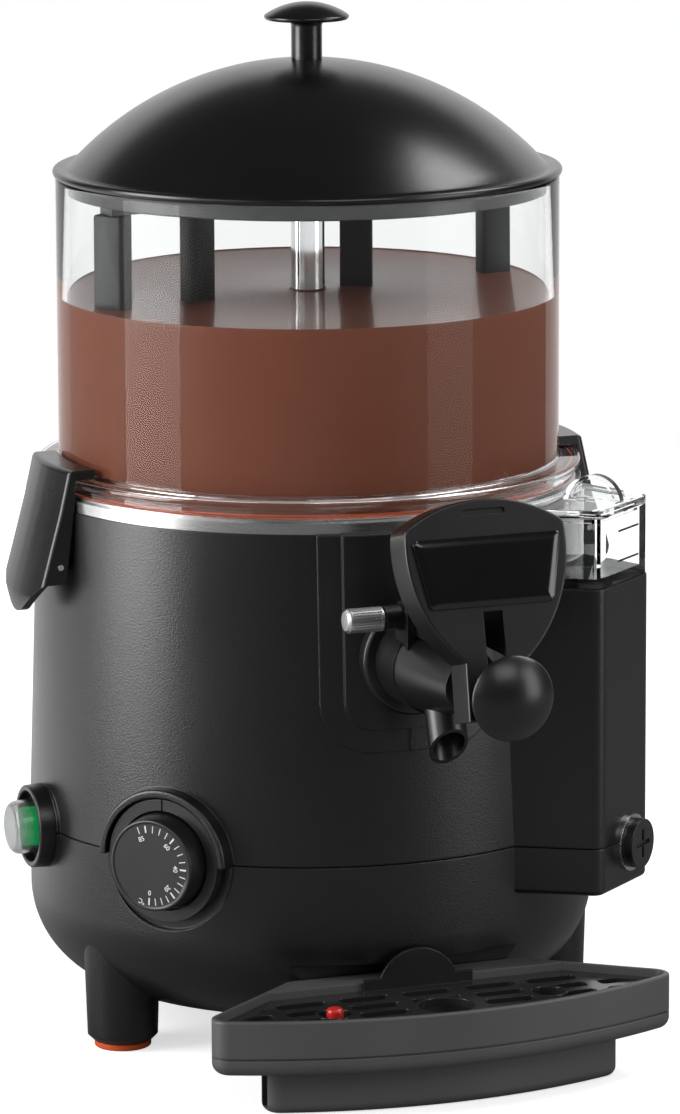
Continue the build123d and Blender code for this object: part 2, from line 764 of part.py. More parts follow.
def bowl():
    """Clear bowl with a stepped flange at its foot."""
    step_z = BOWL_FOOT_Z + FLANGE_HEIGHT / 2
    wall = lathe(
        (BOWL_BORE_R, BOWL_FOOT_Z),
        (FLANGE_R - FLANGE_STEP, BOWL_FOOT_Z),
        (FLANGE_R - FLANGE_STEP, step_z),
        (FLANGE_R, step_z),
        (FLANGE_R, FLANGE_TOP_Z),
        (BOWL_R, FLANGE_TOP_Z),
        (BOWL_R, BOWL_TOP_Z),
        (BOWL_BORE_R, BOWL_TOP_Z),
    )
    circles = wall.edges().filter_by(GeomType.CIRCLE)
    rims = [circle for circle in circles if circle.radius > FLANGE_R - FIT]
    rims.extend(circles.group_by(Axis.Z)[-1])
    return fillet(rims, BOWL_EDGE) - flange_seal()


def flange_seal():
    """Orange ring in the groove under the bowl's flange."""
    low = BOWL_FOOT_Z
    inner = BOWL_R + SEAL_OUT - SEAL_WIDTH / 2
    return upright(inner + SEAL_WIDTH, low, low + SEAL_HEIGHT) - upright(inner, low, FAR)


def pot_seal():
    """Orange ring on the pot's flange, inside the bowl's foot."""
    outer = BOWL_BORE_R - FIT
    ring = upright(outer, BOWL_FOOT_Z, BOWL_FOOT_Z + POT_SEAL_HEIGHT)
    return ring - upright(outer - POT_SEAL_WIDTH, 0, FAR)


def arm_place(radius):
    """Point of the mixer's arm, in plan."""
    return (radius * cos(radians(ARM_ANGLE)), radius * sin(radians(ARM_ANGLE)))


def blade(radius, twist, low, high):
    """One upright blade of the mixer, turned on its own axis."""
    bar = Box(BLADE_WIDTH, BLADE_THICK, high - low, align=UP)
    return Pos(*arm_place(radius), low) * Rot(0, 0, ARM_ANGLE - twist) * bar


def cross_bar(reach, width, low, high):
    """Bar across the mixer, along its arm."""
    bar = Box(2 * reach, width, high - low, align=UP)
    return Pos(0, 0, low) * Rot(0, 0, ARM_ANGLE) * bar


def blade_reach():
    """Half length of the mixer's bars, out to the outer blades."""
    return max(BLADE_PLACES) + BLADE_WIDTH / 2 - BLADE_THICK / 2


def mixer_arm():
    """Hub on the drive shaft, with the arm that carries the blades."""
    arm = cross_bar(blade_reach(), ARM_WIDTH, ARM_Z, ARM_Z + ARM_HEIGHT)
    arm += upright(HUB_R, ARM_Z, ARM_Z + ARM_HEIGHT)
    return arm - drive_shaft()


def mixer_blades():
    """Four upright blades at different radii."""
    pairs = zip(BLADE_PLACES, BLADE_TWISTS)
    return Compound(children=[blade(place, twist, BLADE_FOOT_Z, ARM_Z) for place, twist in pairs])


def mixer_paddle():
    """Lower bar that joins the blades round the tube, with the scrapers that reach into the pot."""
    low = BLADE_FOOT_Z - PADDLE_HEIGHT
    paddle = cross_bar(blade_reach(), PADDLE_WIDTH, low, BLADE_FOOT_Z)
    paddle += upright(HUB_R, low, BLADE_FOOT_Z)
    for place in SCRAPER_PLACES:
        paddle += blade(place, SCRAPER_TWIST, POT_FLOOR_Z + SHEET + SCRAPER_GAP, low)
    return paddle - upright(TUBE_R + LOOSE, 0, FAR)


def hot_chocolate():
    """Contents of the pot and the bowl, stirred by the mixer."""
    pot_r = POT_BORE_R - CHOCOLATE_GAP
    neck_r = BOWL_BORE_R - POT_SEAL_WIDTH - CHOCOLATE_GAP
    bowl_r = BOWL_BORE_R - CHOCOLATE_GAP
    seal_top = BOWL_FOOT_Z + POT_SEAL_HEIGHT + CHOCOLATE_GAP
    body = upright(min(pot_r, neck_r), POT_FLOOR_Z + SHEET + CHOCOLATE_GAP, CHOCOLATE_Z)
    body += upright(bowl_r, seal_top, CHOCOLATE_Z)
    body -= upright(TUBE_R + CHOCOLATE_GAP, 0, FAR)
    body -= mixer_paddle()
    for place, twist in zip(BLADE_PLACES, BLADE_TWISTS):
        body -= blade(place, twist, BLADE_FOOT_Z, ARM_Z)
    return body


def dome_line(inset):
    """Arc of the lid's dome from its knob seat to its edge, drawn in by a wall."""
    dome_edge = LIP_R - LID_SHOULDER
    centre = LIP_FOOT_Z + LIP_HEIGHT - sqrt(LID_DOME_R**2 - dome_edge**2)
    radius = LID_DOME_R - inset
    seat = (STEM_R, centre + sqrt(radius**2 - STEM_R**2))
    edge_r = dome_edge * radius / LID_DOME_R
    edge = (edge_r, centre + sqrt(radius**2 - edge_r**2))
    half = (seat[0] + edge[0]) / 2
    return ThreePointArc(seat, (half, centre + sqrt(radius**2 - half**2)), edge), seat, edge


def lid():
    """Domed lid with a lip on the bowl's edge and a skirt inside it."""
    outer, outer_seat, outer_edge = dome_line(0)
    inner, inner_seat, inner_edge = dome_line(LID_WALL)
    skirt_r = BOWL_BORE_R - SLIDE
    lip_top = LIP_FOOT_Z + LIP_HEIGHT
    round_r = LIP_HEIGHT / 2
    bead = ThreePointArc(
        (LIP_R - round_r, lip_top), (LIP_R, lip_top - round_r), (LIP_R - round_r, LIP_FOOT_Z)
    )
    rim = Polyline(outer_edge, (LIP_R - round_r, lip_top))
    skirt = Polyline(
        (LIP_R - round_r, LIP_FOOT_Z),
        (skirt_r, LIP_FOOT_Z),
        (skirt_r, LIP_FOOT_Z - SKIRT_DEPTH),
        (skirt_r - SKIRT_WALL, LIP_FOOT_Z - SKIRT_DEPTH),
        inner_edge,
    )
    crown = Polyline(inner_seat, (0, inner_seat[1]), (0, outer_seat[1]), outer_seat)
    dome = revolve(Plane.XZ * face(outer, rim, bead, skirt, inner, crown), Axis.Z)
    return dome - upright(KNOB_SCREW_R + FIT, 0, FAR)


def lid_seats():
    """Heights of the flats under the knob, inside and outside the lid."""
    return dome_line(LID_WALL)[1][1], dome_line(0)[1][1]


def lid_knob():
    """Mushroom knob on its stem."""
    seat = lid_seats()[1]
    rim_z = seat + KNOB_RISE - KNOB_DOME
    top = cap_arc(KNOB_R, rim_z, KNOB_DOME)
    side = Polyline(
        (KNOB_R, rim_z),
        (KNOB_R - KNOB_RIM / 2, rim_z - KNOB_RIM),
        (STEM_R, rim_z - KNOB_RIM),
        (STEM_R, seat),
        (0, seat),
        (0, seat + KNOB_RISE),
    )
    knob = revolve(Plane.XZ * face(top, side), Axis.Z)
    return knob - upright(KNOB_SCREW_R + FIT, 0, seat + KNOB_SCREW_GRIP)


def knob_screw():
    """Screw that holds the knob from inside the lid."""
    inner, outer = lid_seats()
    shank = upright(KNOB_SCREW_R, inner, outer + KNOB_SCREW_GRIP)
    return shank + upright(KNOB_SCREW_HEAD_R, inner - KNOB_SCREW_HEAD, inner)


def latch(side):
    """Over-centre latch with a hook over the bowl's flange, for the right or the left side."""
    hook_low = FLANGE_TOP_Z + HOOK_LIFT
    hook_top = hook_low + HOOK_THICK
    hook_r = BOWL_R + HOOK_REACH_GAP
    waist = (LATCH_CLEAR_R + LATCH_WAIST_OUT, BODY_TOP_Z - LATCH_WAIST_DROP)
    knee = (LATCH_KNEE_R, BODY_TOP_Z - LATCH_KNEE_DROP)
    tip_r = LATCH_KNEE_R + LATCH_TIP_OUT
    form = lathe(
        (hook_r, hook_low),
        (hook_r, hook_top),
        (LATCH_CLEAR_R + LATCH_TOP_OUT, hook_top),
        waist,
        knee,
        (tip_r, LATCH_TIP_Z + LATCH_TONGUE_HALF),
        (tip_r, LATCH_TIP_Z),
        (tip_r - LATCH_PLATE, LATCH_TIP_Z),
        (LATCH_KNEE_R, LATCH_CHEEK_FOOT_Z),
        (body_radius(LATCH_CHEEK_FOOT_Z) + LATCH_CHEEK_GAP, LATCH_CHEEK_FOOT_Z),
        (LATCH_CLEAR_R, RIM_TOP_Z),
        (LATCH_CLEAR_R, hook_low),
    )
    hollow = lathe(
        (hook_r, hook_low),
        (LATCH_CLEAR_R, hook_low),
        (waist[0] - LATCH_PLATE, waist[1]),
        (knee[0] - LATCH_PLATE, knee[1]),
        (LATCH_KNEE_R, LATCH_CHEEK_FOOT_Z),
        (LATCH_KNEE_R, LATCH_TIP_Z),
        (hook_r, LATCH_TIP_Z),
    )
    half = LATCH_WIDTH / 2
    inside = half - LATCH_CHEEK
    hollow &= block((0, FAR), (-inside, inside), (0, FAR))
    shoulder = LATCH_CHEEK_FOOT_Z
    tongue = face(
        Line((-half, FAR), (-half, shoulder)),
        Line((-half, shoulder), (-LATCH_TONGUE_HALF, LATCH_TIP_Z + LATCH_TONGUE_HALF / 3)),
        ThreePointArc(
            (-LATCH_TONGUE_HALF, LATCH_TIP_Z + LATCH_TONGUE_HALF / 3),
            (0, LATCH_TIP_Z),
            (LATCH_TONGUE_HALF, LATCH_TIP_Z + LATCH_TONGUE_HALF / 3),
        ),
        Line((LATCH_TONGUE_HALF, LATCH_TIP_Z + LATCH_TONGUE_HALF / 3), (half, shoulder)),
        Line((half, shoulder), (half, FAR)),
        Line((half, FAR), (-half, FAR)),
    )
    body = (form - hollow) & extrude(Plane.YZ * tongue, FAR)
    pin = (LATCH_PIN_X, LATCH_PIN_Z)
    body -= rod(LATCH_PIN_R + FIT, (pin[0], -half, pin[1]), (pin[0], half, pin[1]))
    return body if side > 0 else mirror(body, Plane.YZ)


def front_prism(half, foot, corner):
    """Block in front of the housing with the outline of the tap's panel."""
    outline = polygon((-half, foot), (half, foot), (half, BODY_TOP_Z), (-half, BODY_TOP_Z))
    outline = fillet(outline.vertices().sort_by(Axis.Y)[:2], corner)
    return Pos(0, -BODY_TOP_R / 2, 0) * extrude(Plane.XZ * outline, BODY_SEAM_R)


def body_skin(thick):
    """Solid cone that lies a little outside the upper housing."""
    gap = FIT + thick
    return lathe(
        (0, SEAM_Z), (BODY_SEAM_R + gap, SEAM_Z), (BODY_TOP_R + gap, BODY_TOP_Z), (0, BODY_TOP_Z)
    )


def tap_panel():
    """Raised panel on the front of the housing, in two steps, with a short rib at its foot."""
    foot = TAP_Z - PANEL_DROP
    step_foot = foot + PAD_PANEL_INSET
    frame = front_prism(PANEL_HALF, foot, PANEL_CORNER) & body_skin(PANEL_THICK)
    pad = front_prism(PANEL_HALF - PAD_PANEL_INSET, step_foot, PANEL_CORNER - PAD_PANEL_INSET)
    pad &= body_skin(PAD_PANEL_THICK)
    rib = block((-PANEL_RIB_HALF, PANEL_RIB_HALF), (-FAR, 0), (foot, step_foot))
    rib &= body_skin(PAD_PANEL_THICK)
    panel = frame + pad + rib - body_skin(0)
    return panel - peg(0, TAP_Z, PIPE_R + FIT, 0, FAR)


def tap_flange():
    """Round flange that clamps the tap to the panel."""
    flange = peg(0, TAP_Z, TAP_FLANGE_R, BODY_TOP_R / 2, TAP_SEAT)
    flange = chamfer(flange.faces().sort_by(Axis.Y)[0].edges(), TAP_FLANGE_THICK / 4)
    flange -= body_skin(PAD_PANEL_THICK + FIT)
    return flange - peg(0, TAP_Z, PIPE_R + FIT, 0, FAR)


def spout_axis(height):
    """Point on the spout's leaning axis, which meets the barrel's underside at the spout's root."""
    fall = TAP_Z - BARREL_ROOT_R - height
    return (0, SPOUT_ROOT_Y - fall * tan(radians(SPOUT_LEAN)), height)


def spout_run():
    """Two points on the spout's axis, from the barrel's bore to well below its mouth."""
    return spout_axis(TAP_Z), spout_axis(TAP_Z - SPOUT_BACK_DROP - 2 * SPOUT_R)


def tap_body():
    """Tapered barrel with the bore for the piston and two ears for the lever's pivot."""
    seat = TAP_SEAT
    root = seat + BARREL_COLLAR
    outline = polygon(
        (0, seat),
        (BARREL_COLLAR_R, seat),
        (BARREL_COLLAR_R, root),
        (BARREL_ROOT_R, root),
        (BARREL_END_R, BARREL_REACH),
        (0, BARREL_REACH),
    )
    barrel = Pos(0, 0, TAP_Z) * Rot(90, 0, 0) * revolve(Plane.XZ * outline, Axis.Z)
    between_ears = (-EAR_INNER, EAR_INNER)
    barrel -= block(between_ears, (-FAR, PIVOT_Y + EAR_R + LOOSE), (PIVOT_Z - EAR_R - LOOSE, FAR))
    ear_out = EAR_INNER + EAR_THICK
    for side in (1, -1):
        inner, outer = sorted((side * EAR_INNER, side * ear_out))
        ear = rod(EAR_R, (inner, PIVOT_Y, PIVOT_Z), (outer, PIVOT_Y, PIVOT_Z))
        ear += block((inner, outer), (PIVOT_Y - EAR_R, PIVOT_Y + EAR_R), (TAP_Z, PIVOT_Z))
        barrel += ear
    boss_end = ear_out + BOSS_LENGTH
    barrel += rod(BOSS_R, (-ear_out, PIVOT_Y, PIVOT_Z), (-boss_end, PIVOT_Y, PIVOT_Z))
    barrel -= peg(0, TAP_Z, BORE_R, 0, BARREL_REACH - BORE_END)
    swing = PIVOT_ARM / 2
    slot = (-LEVER_HALF - LOOSE, LEVER_HALF + LOOSE)
    barrel -= block(slot, (PIVOT_Y - swing, PIVOT_Y + LEVER_TOE_R + SLIDE), (TAP_Z, PIVOT_Z + EAR_R))
    barrel -= block(slot, (-FAR, PIVOT_Y), (TAP_Z + BORE_R + LOOSE, FAR))
    barrel -= rod(SPOUT_R + FIT, *spout_run())
    span = EAR_INNER + boss_end
    barrel -= rod(PIVOT_R + RUNNING, (-span, PIVOT_Y, PIVOT_Z), (span, PIVOT_Y, PIVOT_Z))
    return barrel


def spout():
    """Oblique spout under the barrel."""
    tube = rod(SPOUT_R, *spout_run()) - rod(SPOUT_R - SPOUT_WALL, *spout_run())
    tube -= peg(0, TAP_Z, BORE_R + FIT, 0, FAR)
    side = SPOUT_R / cos(radians(SPOUT_LEAN))
    back_z = TAP_Z - SPOUT_BACK_DROP
    front_z = TAP_Z - SPOUT_FRONT_DROP
    back_y = spout_axis(back_z)[1] + side
    front_y = spout_axis(front_z)[1] - side
    below = polygon(
        (back_y, back_z), (front_y, front_z), (front_y - FAR, front_z), (front_y - FAR, 0), (0, 0), (0, back_z)
    )
    return tube - extrude(Plane.YZ * below, SPOUT_R + LOOSE, both=True)


def piston():
    """Piston that closes the outlet pipe, with a notch for the lever's toe."""
    seat = TAP_SEAT + LOOSE
    head = peg(0, TAP_Z, BORE_R - RUNNING, seat, seat + PISTON_HEAD)
    head += peg(0, TAP_Z, PISTON_ROD_R, seat, seat + PISTON_REACH)
    guide = peg(0, TAP_Z, BORE_R - RUNNING, seat + PISTON_REACH - PISTON_GUIDE, seat + PISTON_REACH)
    head += guide
    toe = LEVER_TOE_R + LOOSE
    head -= block((-FAR, FAR), (PIVOT_Y - toe, PIVOT_Y + toe), (TAP_Z - toe, FAR))
    flat = TAP_Z + LEVER_TOE_R / 2
    head -= block((-FAR, FAR), (-seat - PISTON_REACH + PISTON_GUIDE, -seat - PISTON_HEAD), (flat, FAR))
    for groove in piston_rings(BORE_R):
        head -= groove
    return head


def piston_rings(outer):
    """Two rings round the piston's head, out to a radius."""
    rings = []
    for share in (0.25, 0.75):
        place = TAP_SEAT + LOOSE + PISTON_HEAD * share
        ring = peg(0, TAP_Z, outer, place - PISTON_RING_WIDTH / 2, place + PISTON_RING_WIDTH / 2)
        rings.append(ring - peg(0, TAP_Z, BORE_R - RUNNING - PISTON_RING_DEPTH, 0, FAR))
    return rings


def piston_seals():
    """Sealing rings in the piston's grooves."""
    return Compound(children=piston_rings(BORE_R - RUNNING))


def lever():
    """Lever on the pivot, with a toe in the piston and a shank that carries the knob."""
    neck_y = TAP_KNOB_Y + LEVER_SHANK
    half = LEVER_DEPTH / 2
    arm = face(Polyline(
        (PIVOT_Y, PIVOT_Z + half),
        (PIVOT_Y, PIVOT_Z - half),
        (neck_y, TAP_KNOB_Z - half),
        (neck_y, TAP_KNOB_Z + half),
        close=True,
    ))
    toe = polygon(
        (PIVOT_Y - LEVER_TOE_HALF, PIVOT_Z),
        (PIVOT_Y + LEVER_TOE_HALF, PIVOT_Z),
        (PIVOT_Y + LEVER_TOE_HALF, TAP_Z),
        (PIVOT_Y - LEVER_TOE_HALF, TAP_Z),
    )
    body = extrude(Plane.YZ * arm, LEVER_HALF, both=True)
    body += extrude(Plane.YZ * toe, LEVER_HALF, both=True)
    body += rod(LEVER_TOE_R, (-LEVER_HALF, PIVOT_Y, TAP_Z), (LEVER_HALF, PIVOT_Y, TAP_Z))
    eye = CHEEK_INNER - LOOSE
    body += rod(LEVER_EYE_R, (-eye, PIVOT_Y, PIVOT_Z), (eye, PIVOT_Y, PIVOT_Z))
    body += rod(LEVER_SHANK_R, (0, neck_y, TAP_KNOB_Z), (0, TAP_KNOB_Y, TAP_KNOB_Z))
    return body - rod(PIVOT_R + RUNNING, (-eye, PIVOT_Y, PIVOT_Z), (eye, PIVOT_Y, PIVOT_Z))


def lever_knob():
    """Domed knob on the lever, round about its own axis."""
    back = TAP_KNOB_RIM + TAP_KNOB_NECK_R / 2
    dome = cap_arc(TAP_KNOB_R, 0, TAP_KNOB_DOME)
    outline = Polyline(
        (0, TAP_KNOB_DOME),
        (0, -back),
        (TAP_KNOB_NECK_R, -back),
        (TAP_KNOB_NECK_R, -TAP_KNOB_RIM * 1.5),
        (TAP_KNOB_R - TAP_KNOB_RIM, -TAP_KNOB_RIM),
        (TAP_KNOB_R, 0),
    )
    knob = revolve(Plane.XZ * face(dome, outline), Axis.Z)
    knob -= rod(LEVER_SHANK_R + FIT, (0, 0, -FAR), (0, 0, 0))
    return Pos(0, TAP_KNOB_Y, TAP_KNOB_Z) * Rot(90, 0, 0) * knob


def thumb_screw():
    """Knurled screw that is also the lever's pivot."""
    end = EAR_INNER + EAR_THICK
    neck = -end - BOSS_LENGTH - LOOSE
    head = rod(SCREW_HEAD_R, (neck - SCREW_HEAD_LENGTH, PIVOT_Y, PIVOT_Z), (neck, PIVOT_Y, PIVOT_Z))
    head = chamfer(head.faces().sort_by(Axis.X)[0].edges(), SCREW_HEAD_R / 8)
    return head + rod(PIVOT_R, (neck, PIVOT_Y, PIVOT_Z), (end, PIVOT_Y, PIVOT_Z))


def shield_plane(lift=0.0):
    """Plane of the shield's face, with its own Y up the slope."""
    lean = radians(SHIELD_LEAN)
    normal = Vector(0, -cos(lean), sin(lean))
    return Plane(origin=Vector(0, SHIELD_Y, SHIELD_Z) + normal * lift, x_dir=(1, 0, 0), z_dir=normal)


def shield_outline(inset):
    """Outline of the shield's face, drawn in by a wall."""
    top = ThreePointArc(
        (-SHIELD_SHOULDER_HALF, SHIELD_SHOULDER), (0, SHIELD_TOP), (SHIELD_SHOULDER_HALF, SHIELD_SHOULDER)
    )
    sides = []
    for side in (1, -1):
        sides.append(ThreePointArc(
            (side * SHIELD_SHOULDER_HALF, SHIELD_SHOULDER),
            (side * SHIELD_SIDE_HALF, SHIELD_SIDE),
            (side * SHIELD_WAIST_HALF, 0),
        ))
    foot = Polyline(
        (SHIELD_WAIST_HALF, 0),
        (SHIELD_FOOT_HALF, -SHIELD_FOOT),
        (-SHIELD_FOOT_HALF, -SHIELD_FOOT),
        (-SHIELD_WAIST_HALF, 0),
    )
    outline = face(top, *sides, foot)
    outline = fillet(outline.vertices().group_by(Axis.Y)[-1], SHIELD_CORNER)
    return offset(outline, -inset) if inset else outline


def shield():
    """Hollow shield in front of the tap, carried by two cheeks on the tap's ears."""
    shell = extrude(shield_plane() * shield_outline(0), -SHIELD_DEPTH)
    front = shell.faces().sort_by(Axis((0, 0, 0), shield_plane().z_dir))[-1]
    shell = fillet(front.edges(), SHIELD_EDGE)
    shell -= extrude(shield_plane(-SHIELD_WALL) * shield_outline(SHIELD_WALL), -SHIELD_DEPTH)
    slot_height = SHIELD_SLOT_TOP + SHIELD_SLOT_FOOT
    slot_width = 2 * (LEVER_HALF + SHIELD_SLOT_GAP)
    slot = Pos(0, SHIELD_SLOT_TOP - slot_height / 2) * Rectangle(slot_width, slot_height)
    shell -= extrude(shield_plane(SHIELD_WALL) * slot, -SHIELD_DEPTH)
    groove = SlotOverall(2 * SHIELD_GROOVE_HALF, SHIELD_GROOVE_HEIGHT)
    groove = Pos(0, SHIELD_TOP - SHIELD_GROOVE_DROP) * groove
    shell -= extrude(shield_plane() * groove, -SHIELD_WALL / 2)
    lean = tan(radians(SHIELD_LEAN))
    face_y = SHIELD_Y + SHIELD_WALL / 2
    low = PIVOT_Z - EAR_R
    high = PIVOT_Z + 2 * EAR_R
    cheek = polygon(
        (PIVOT_Y + EAR_R, low),
        (PIVOT_Y + EAR_R, PIVOT_Z + EAR_R),
        (face_y + (high - SHIELD_Z) * lean, high),
        (face_y + (low - SHIELD_Z) * lean, low),
    )
    for side in (1, -1):
        plane = Plane.YZ.offset(side * CHEEK_INNER)
        shell += extrude(plane * cheek, side * CHEEK_THICK)
    span = CHEEK_INNER + CHEEK_THICK
    return shell - rod(PIVOT_R + RUNNING, (-span, PIVOT_Y, PIVOT_Z), (span, PIVOT_Y, PIVOT_Z))


def shield_plate():
    """Raised plain plate on the shield's face."""
    outline = polygon(
        (-PLATE_TOP_HALF, PLATE_TOP),
        (PLATE_TOP_HALF, PLATE_TOP),
        (PLATE_FOOT_HALF, PLATE_FOOT),
        (-PLATE_FOOT_HALF, PLATE_FOOT),
    )
    outline = fillet(outline.vertices(), PLATE_CORNER)
    plate = extrude(shield_plane() * outline, PLATE_THICK)
    front = plate.faces().sort_by(Axis((0, 0, 0), shield_plane().z_dir))[-1]
    return chamfer(front.edges(), PLATE_THICK / 2)


def dial_ring():
    """Fixed ring round the dial, with its index groove at the top."""
    outer = DIAL_COLLAR_R - DIAL_COLLAR_WALL - DIAL_RING_GAP
    inner = DIAL_ROOT_R + LOOSE
    face_reach = DIAL_SEAT + DIAL_RING_THICK
    ring = peg(DIAL_ANGLE, SEAM_Z, outer, DIAL_SEAT, face_reach)
    ring -= peg(DIAL_ANGLE, SEAM_Z, inner, 0, FAR)
    groove = Pos(0, (outer + inner) / 2) * Rectangle(DIAL_INDEX, outer - inner)
    return ring - extrude(facing(DIAL_ANGLE, face_reach - DIAL_INDEX / 2, SEAM_Z) * groove, FAR)


def dial():
    """Thermostat dial, slightly tapered."""
    outline = polygon((0, 0), (DIAL_ROOT_R, 0), (DIAL_R, DIAL_LENGTH), (0, DIAL_LENGTH))
    knob = revolve(Plane.XZ * outline, Axis.Z)
    knob = fillet(knob.faces().sort_by(Axis.Z)[-1].edges(), DIAL_EDGE)
    knob = facing(DIAL_ANGLE, DIAL_FOOT, SEAM_Z) * knob
    return knob - peg(DIAL_ANGLE, SEAM_Z, SPINDLE_R, 0, DIAL_FOOT + DIAL_LENGTH / 2)


def thermostat_front():
    """Distance from the machine's axis to the front of the thermostat, behind the dial's recess."""
    return DIAL_SEAT - HOUSING_WALL - FIT


def dial_spindle():
    """Spindle that turns with the dial."""
    return peg(DIAL_ANGLE, SEAM_Z, SPINDLE_R, thermostat_front() + LOOSE, DIAL_FOOT + DIAL_LENGTH / 2)


def thermostat():
    """Thermostat body behind the dial."""
    place = facing(DIAL_ANGLE, thermostat_front(), SEAM_Z)
    return place * Pos(0, 0, -THERMOSTAT_DEPTH) * Box(
        THERMOSTAT_WIDTH, THERMOSTAT_HEIGHT, THERMOSTAT_DEPTH, align=UP
    )


def switch_collar():
    """Collar of the power switch, a cup with the boot through its floor."""
    floor = SWITCH_SEAT + SWITCH_COLLAR_FLOOR
    ring = peg(SWITCH_ANGLE, SEAM_Z, SWITCH_COLLAR_R, SWITCH_SEAT, SWITCH_SEAT + SWITCH_COLLAR_LENGTH)
    ring = chamfer(ring.faces().sort_by(Axis.X)[0].edges(), SWITCH_COLLAR_WALL / 4)
    ring -= peg(SWITCH_ANGLE, SEAM_Z, SWITCH_COLLAR_R - SWITCH_COLLAR_WALL, floor, FAR)
    return ring - peg(SWITCH_ANGLE, SEAM_Z, BOOT_R + FIT, 0, FAR)


def switch_boot():
    """Clear boot over the rocker."""
    end = SWITCH_SEAT + BOOT_LENGTH
    outer = peg(SWITCH_ANGLE, SEAM_Z, BOOT_R, SWITCH_SEAT, end)
    outer = fillet(outer.faces().sort_by(Axis.X)[0].edges(), BOOT_ROUND)
    inner = peg(SWITCH_ANGLE, SEAM_Z, BOOT_R - BOOT_WALL, 0, end - BOOT_WALL)
    inner = fillet(inner.faces().sort_by(Axis.X)[0].edges(), BOOT_ROUND - BOOT_WALL)
    return outer - inner


def rocker_pin_reach():
    """Distance from the machine's axis to the rocker's pin."""
    return SWITCH_SEAT + ROCKER_PIN_RISE


def switch_rocker():
    """Green rocker on a level pin along Y."""
    low = SWITCH_SEAT + LOOSE + ROCKER_PIN_R
    rocker = peg(SWITCH_ANGLE, SEAM_Z, ROCKER_R, low, low + ROCKER_LENGTH)
    rocker = fillet(rocker.faces().sort_by(Axis.X)[0].edges(), ROCKER_PIN_R)
    reach = -rocker_pin_reach()
    return rocker - rod(ROCKER_PIN_R + RUNNING, (reach, -ROCKER_R, SEAM_Z), (reach, ROCKER_R, SEAM_Z))


def switch_body():
    """Switch body in the housing's wall, with the two posts and the pin that carry the rocker."""
    body = peg(SWITCH_ANGLE, SEAM_Z, SWITCH_BODY_R, SWITCH_SEAT - SWITCH_BODY_LENGTH, SWITCH_SEAT)
    reach = -rocker_pin_reach()
    for side in (1, -1):
        near, far = sorted((side * (ROCKER_R + LOOSE), side * (BOOT_R - BOOT_WALL - LOOSE)))
        body += block(
            (reach - ROCKER_PIN_R, -SWITCH_SEAT), (near, far), (SEAM_Z - ROCKER_PIN_R, SEAM_Z + ROCKER_PIN_R)
        )
    span = ROCKER_R + LOOSE
    return body + rod(ROCKER_PIN_R, (reach, -span, SEAM_Z), (reach, span, SEAM_Z))


def tank_round(low, high):
    """Cylinder that keeps the filler tank clear of the housing and the bowl's rim."""
    return upright(body_radius(COLUMN_TOP_Z) + TANK_BODY_GAP, low, high)


def tank_spigot_inset():
    """How far the tank's spigot is drawn in from the column's outside."""
    return COLUMN_WALL + LOOSE


def filler_tank():
    """Clear filler tank that stands in the column's open top."""
    outer = column_form(TANK_INSET, COLUMN_TOP_Z, TANK_TOP_Z) - tank_round(0, FAR)
    spigot = column_form(tank_spigot_inset(), COLUMN_TOP_Z - TANK_SPIGOT, COLUMN_TOP_Z)
    spigot -= tank_round(0, FAR)
    inside = column_form(tank_spigot_inset() + TANK_WALL, COLUMN_TOP_Z + TANK_FLOOR, FAR)
    inside -= upright(body_radius(COLUMN_TOP_Z) + TANK_BODY_GAP + TANK_WALL, 0, FAR)
    return outer + spigot - inside


def tank_lid_top():
    """Height of the filler lid's plate."""
    return TANK_TOP_Z + LOOSE + TANK_LID_THICK


def filler_lid():
    """Clear lid of the filler tank, with a lip inside it and a hollow half-round grip."""
    low = TANK_TOP_Z + LOOSE
    plate = column_form(TANK_INSET, low, tank_lid_top()) - tank_round(0, FAR)
    gap = tank_spigot_inset() + TANK_WALL + SLIDE
    lip = column_form(gap, low - TANK_LID_LIP, low)
    lip -= column_form(gap + TANK_WALL, 0, FAR)
    lip -= upright(body_radius(COLUMN_TOP_Z) + TANK_BODY_GAP + TANK_WALL + SLIDE, 0, FAR)
    return plate + lip + grip(0) - grip(GRIP_WALL)


def grip(inset):
    """Half-round grip of the filler lid, drawn in by a wall."""
    base = tank_lid_top()
    radius = GRIP_LENGTH / 2
    arch = face(
        ThreePointArc((-radius + inset, 0), (0, GRIP_HEIGHT - inset), (radius - inset, 0)),
        Line((radius - inset, 0), (-radius + inset, 0)),
    )
    fin = extrude(Plane.YZ * arch, GRIP_THICK / 2 - inset, both=True)
    return Rot(0, 0, COLUMN_ANGLE) * Pos(0, -BODY_TOP_R - GRIP_OUT, base) * fin


def drain_valve():
    """Drain pipe through the column's face, with the plate that the cap closes on."""
    far = COLUMN_REACH + DRAIN_PLATE + DRAIN_CAP_THICK / 2
    valve = peg(COLUMN_ANGLE, DRAIN_Z, DRAIN_PIPE_R, BODY_SEAM_R - DRAIN_PIPE_IN, far, DRAIN_ACROSS)
    valve += peg(COLUMN_ANGLE, DRAIN_Z, DRAIN_PLATE_R, COLUMN_REACH, COLUMN_REACH + DRAIN_PLATE, DRAIN_ACROSS)
    return valve - peg(COLUMN_ANGLE, DRAIN_Z, DRAIN_PIPE_R - DRAIN_PIPE_WALL, 0, FAR, DRAIN_ACROSS)


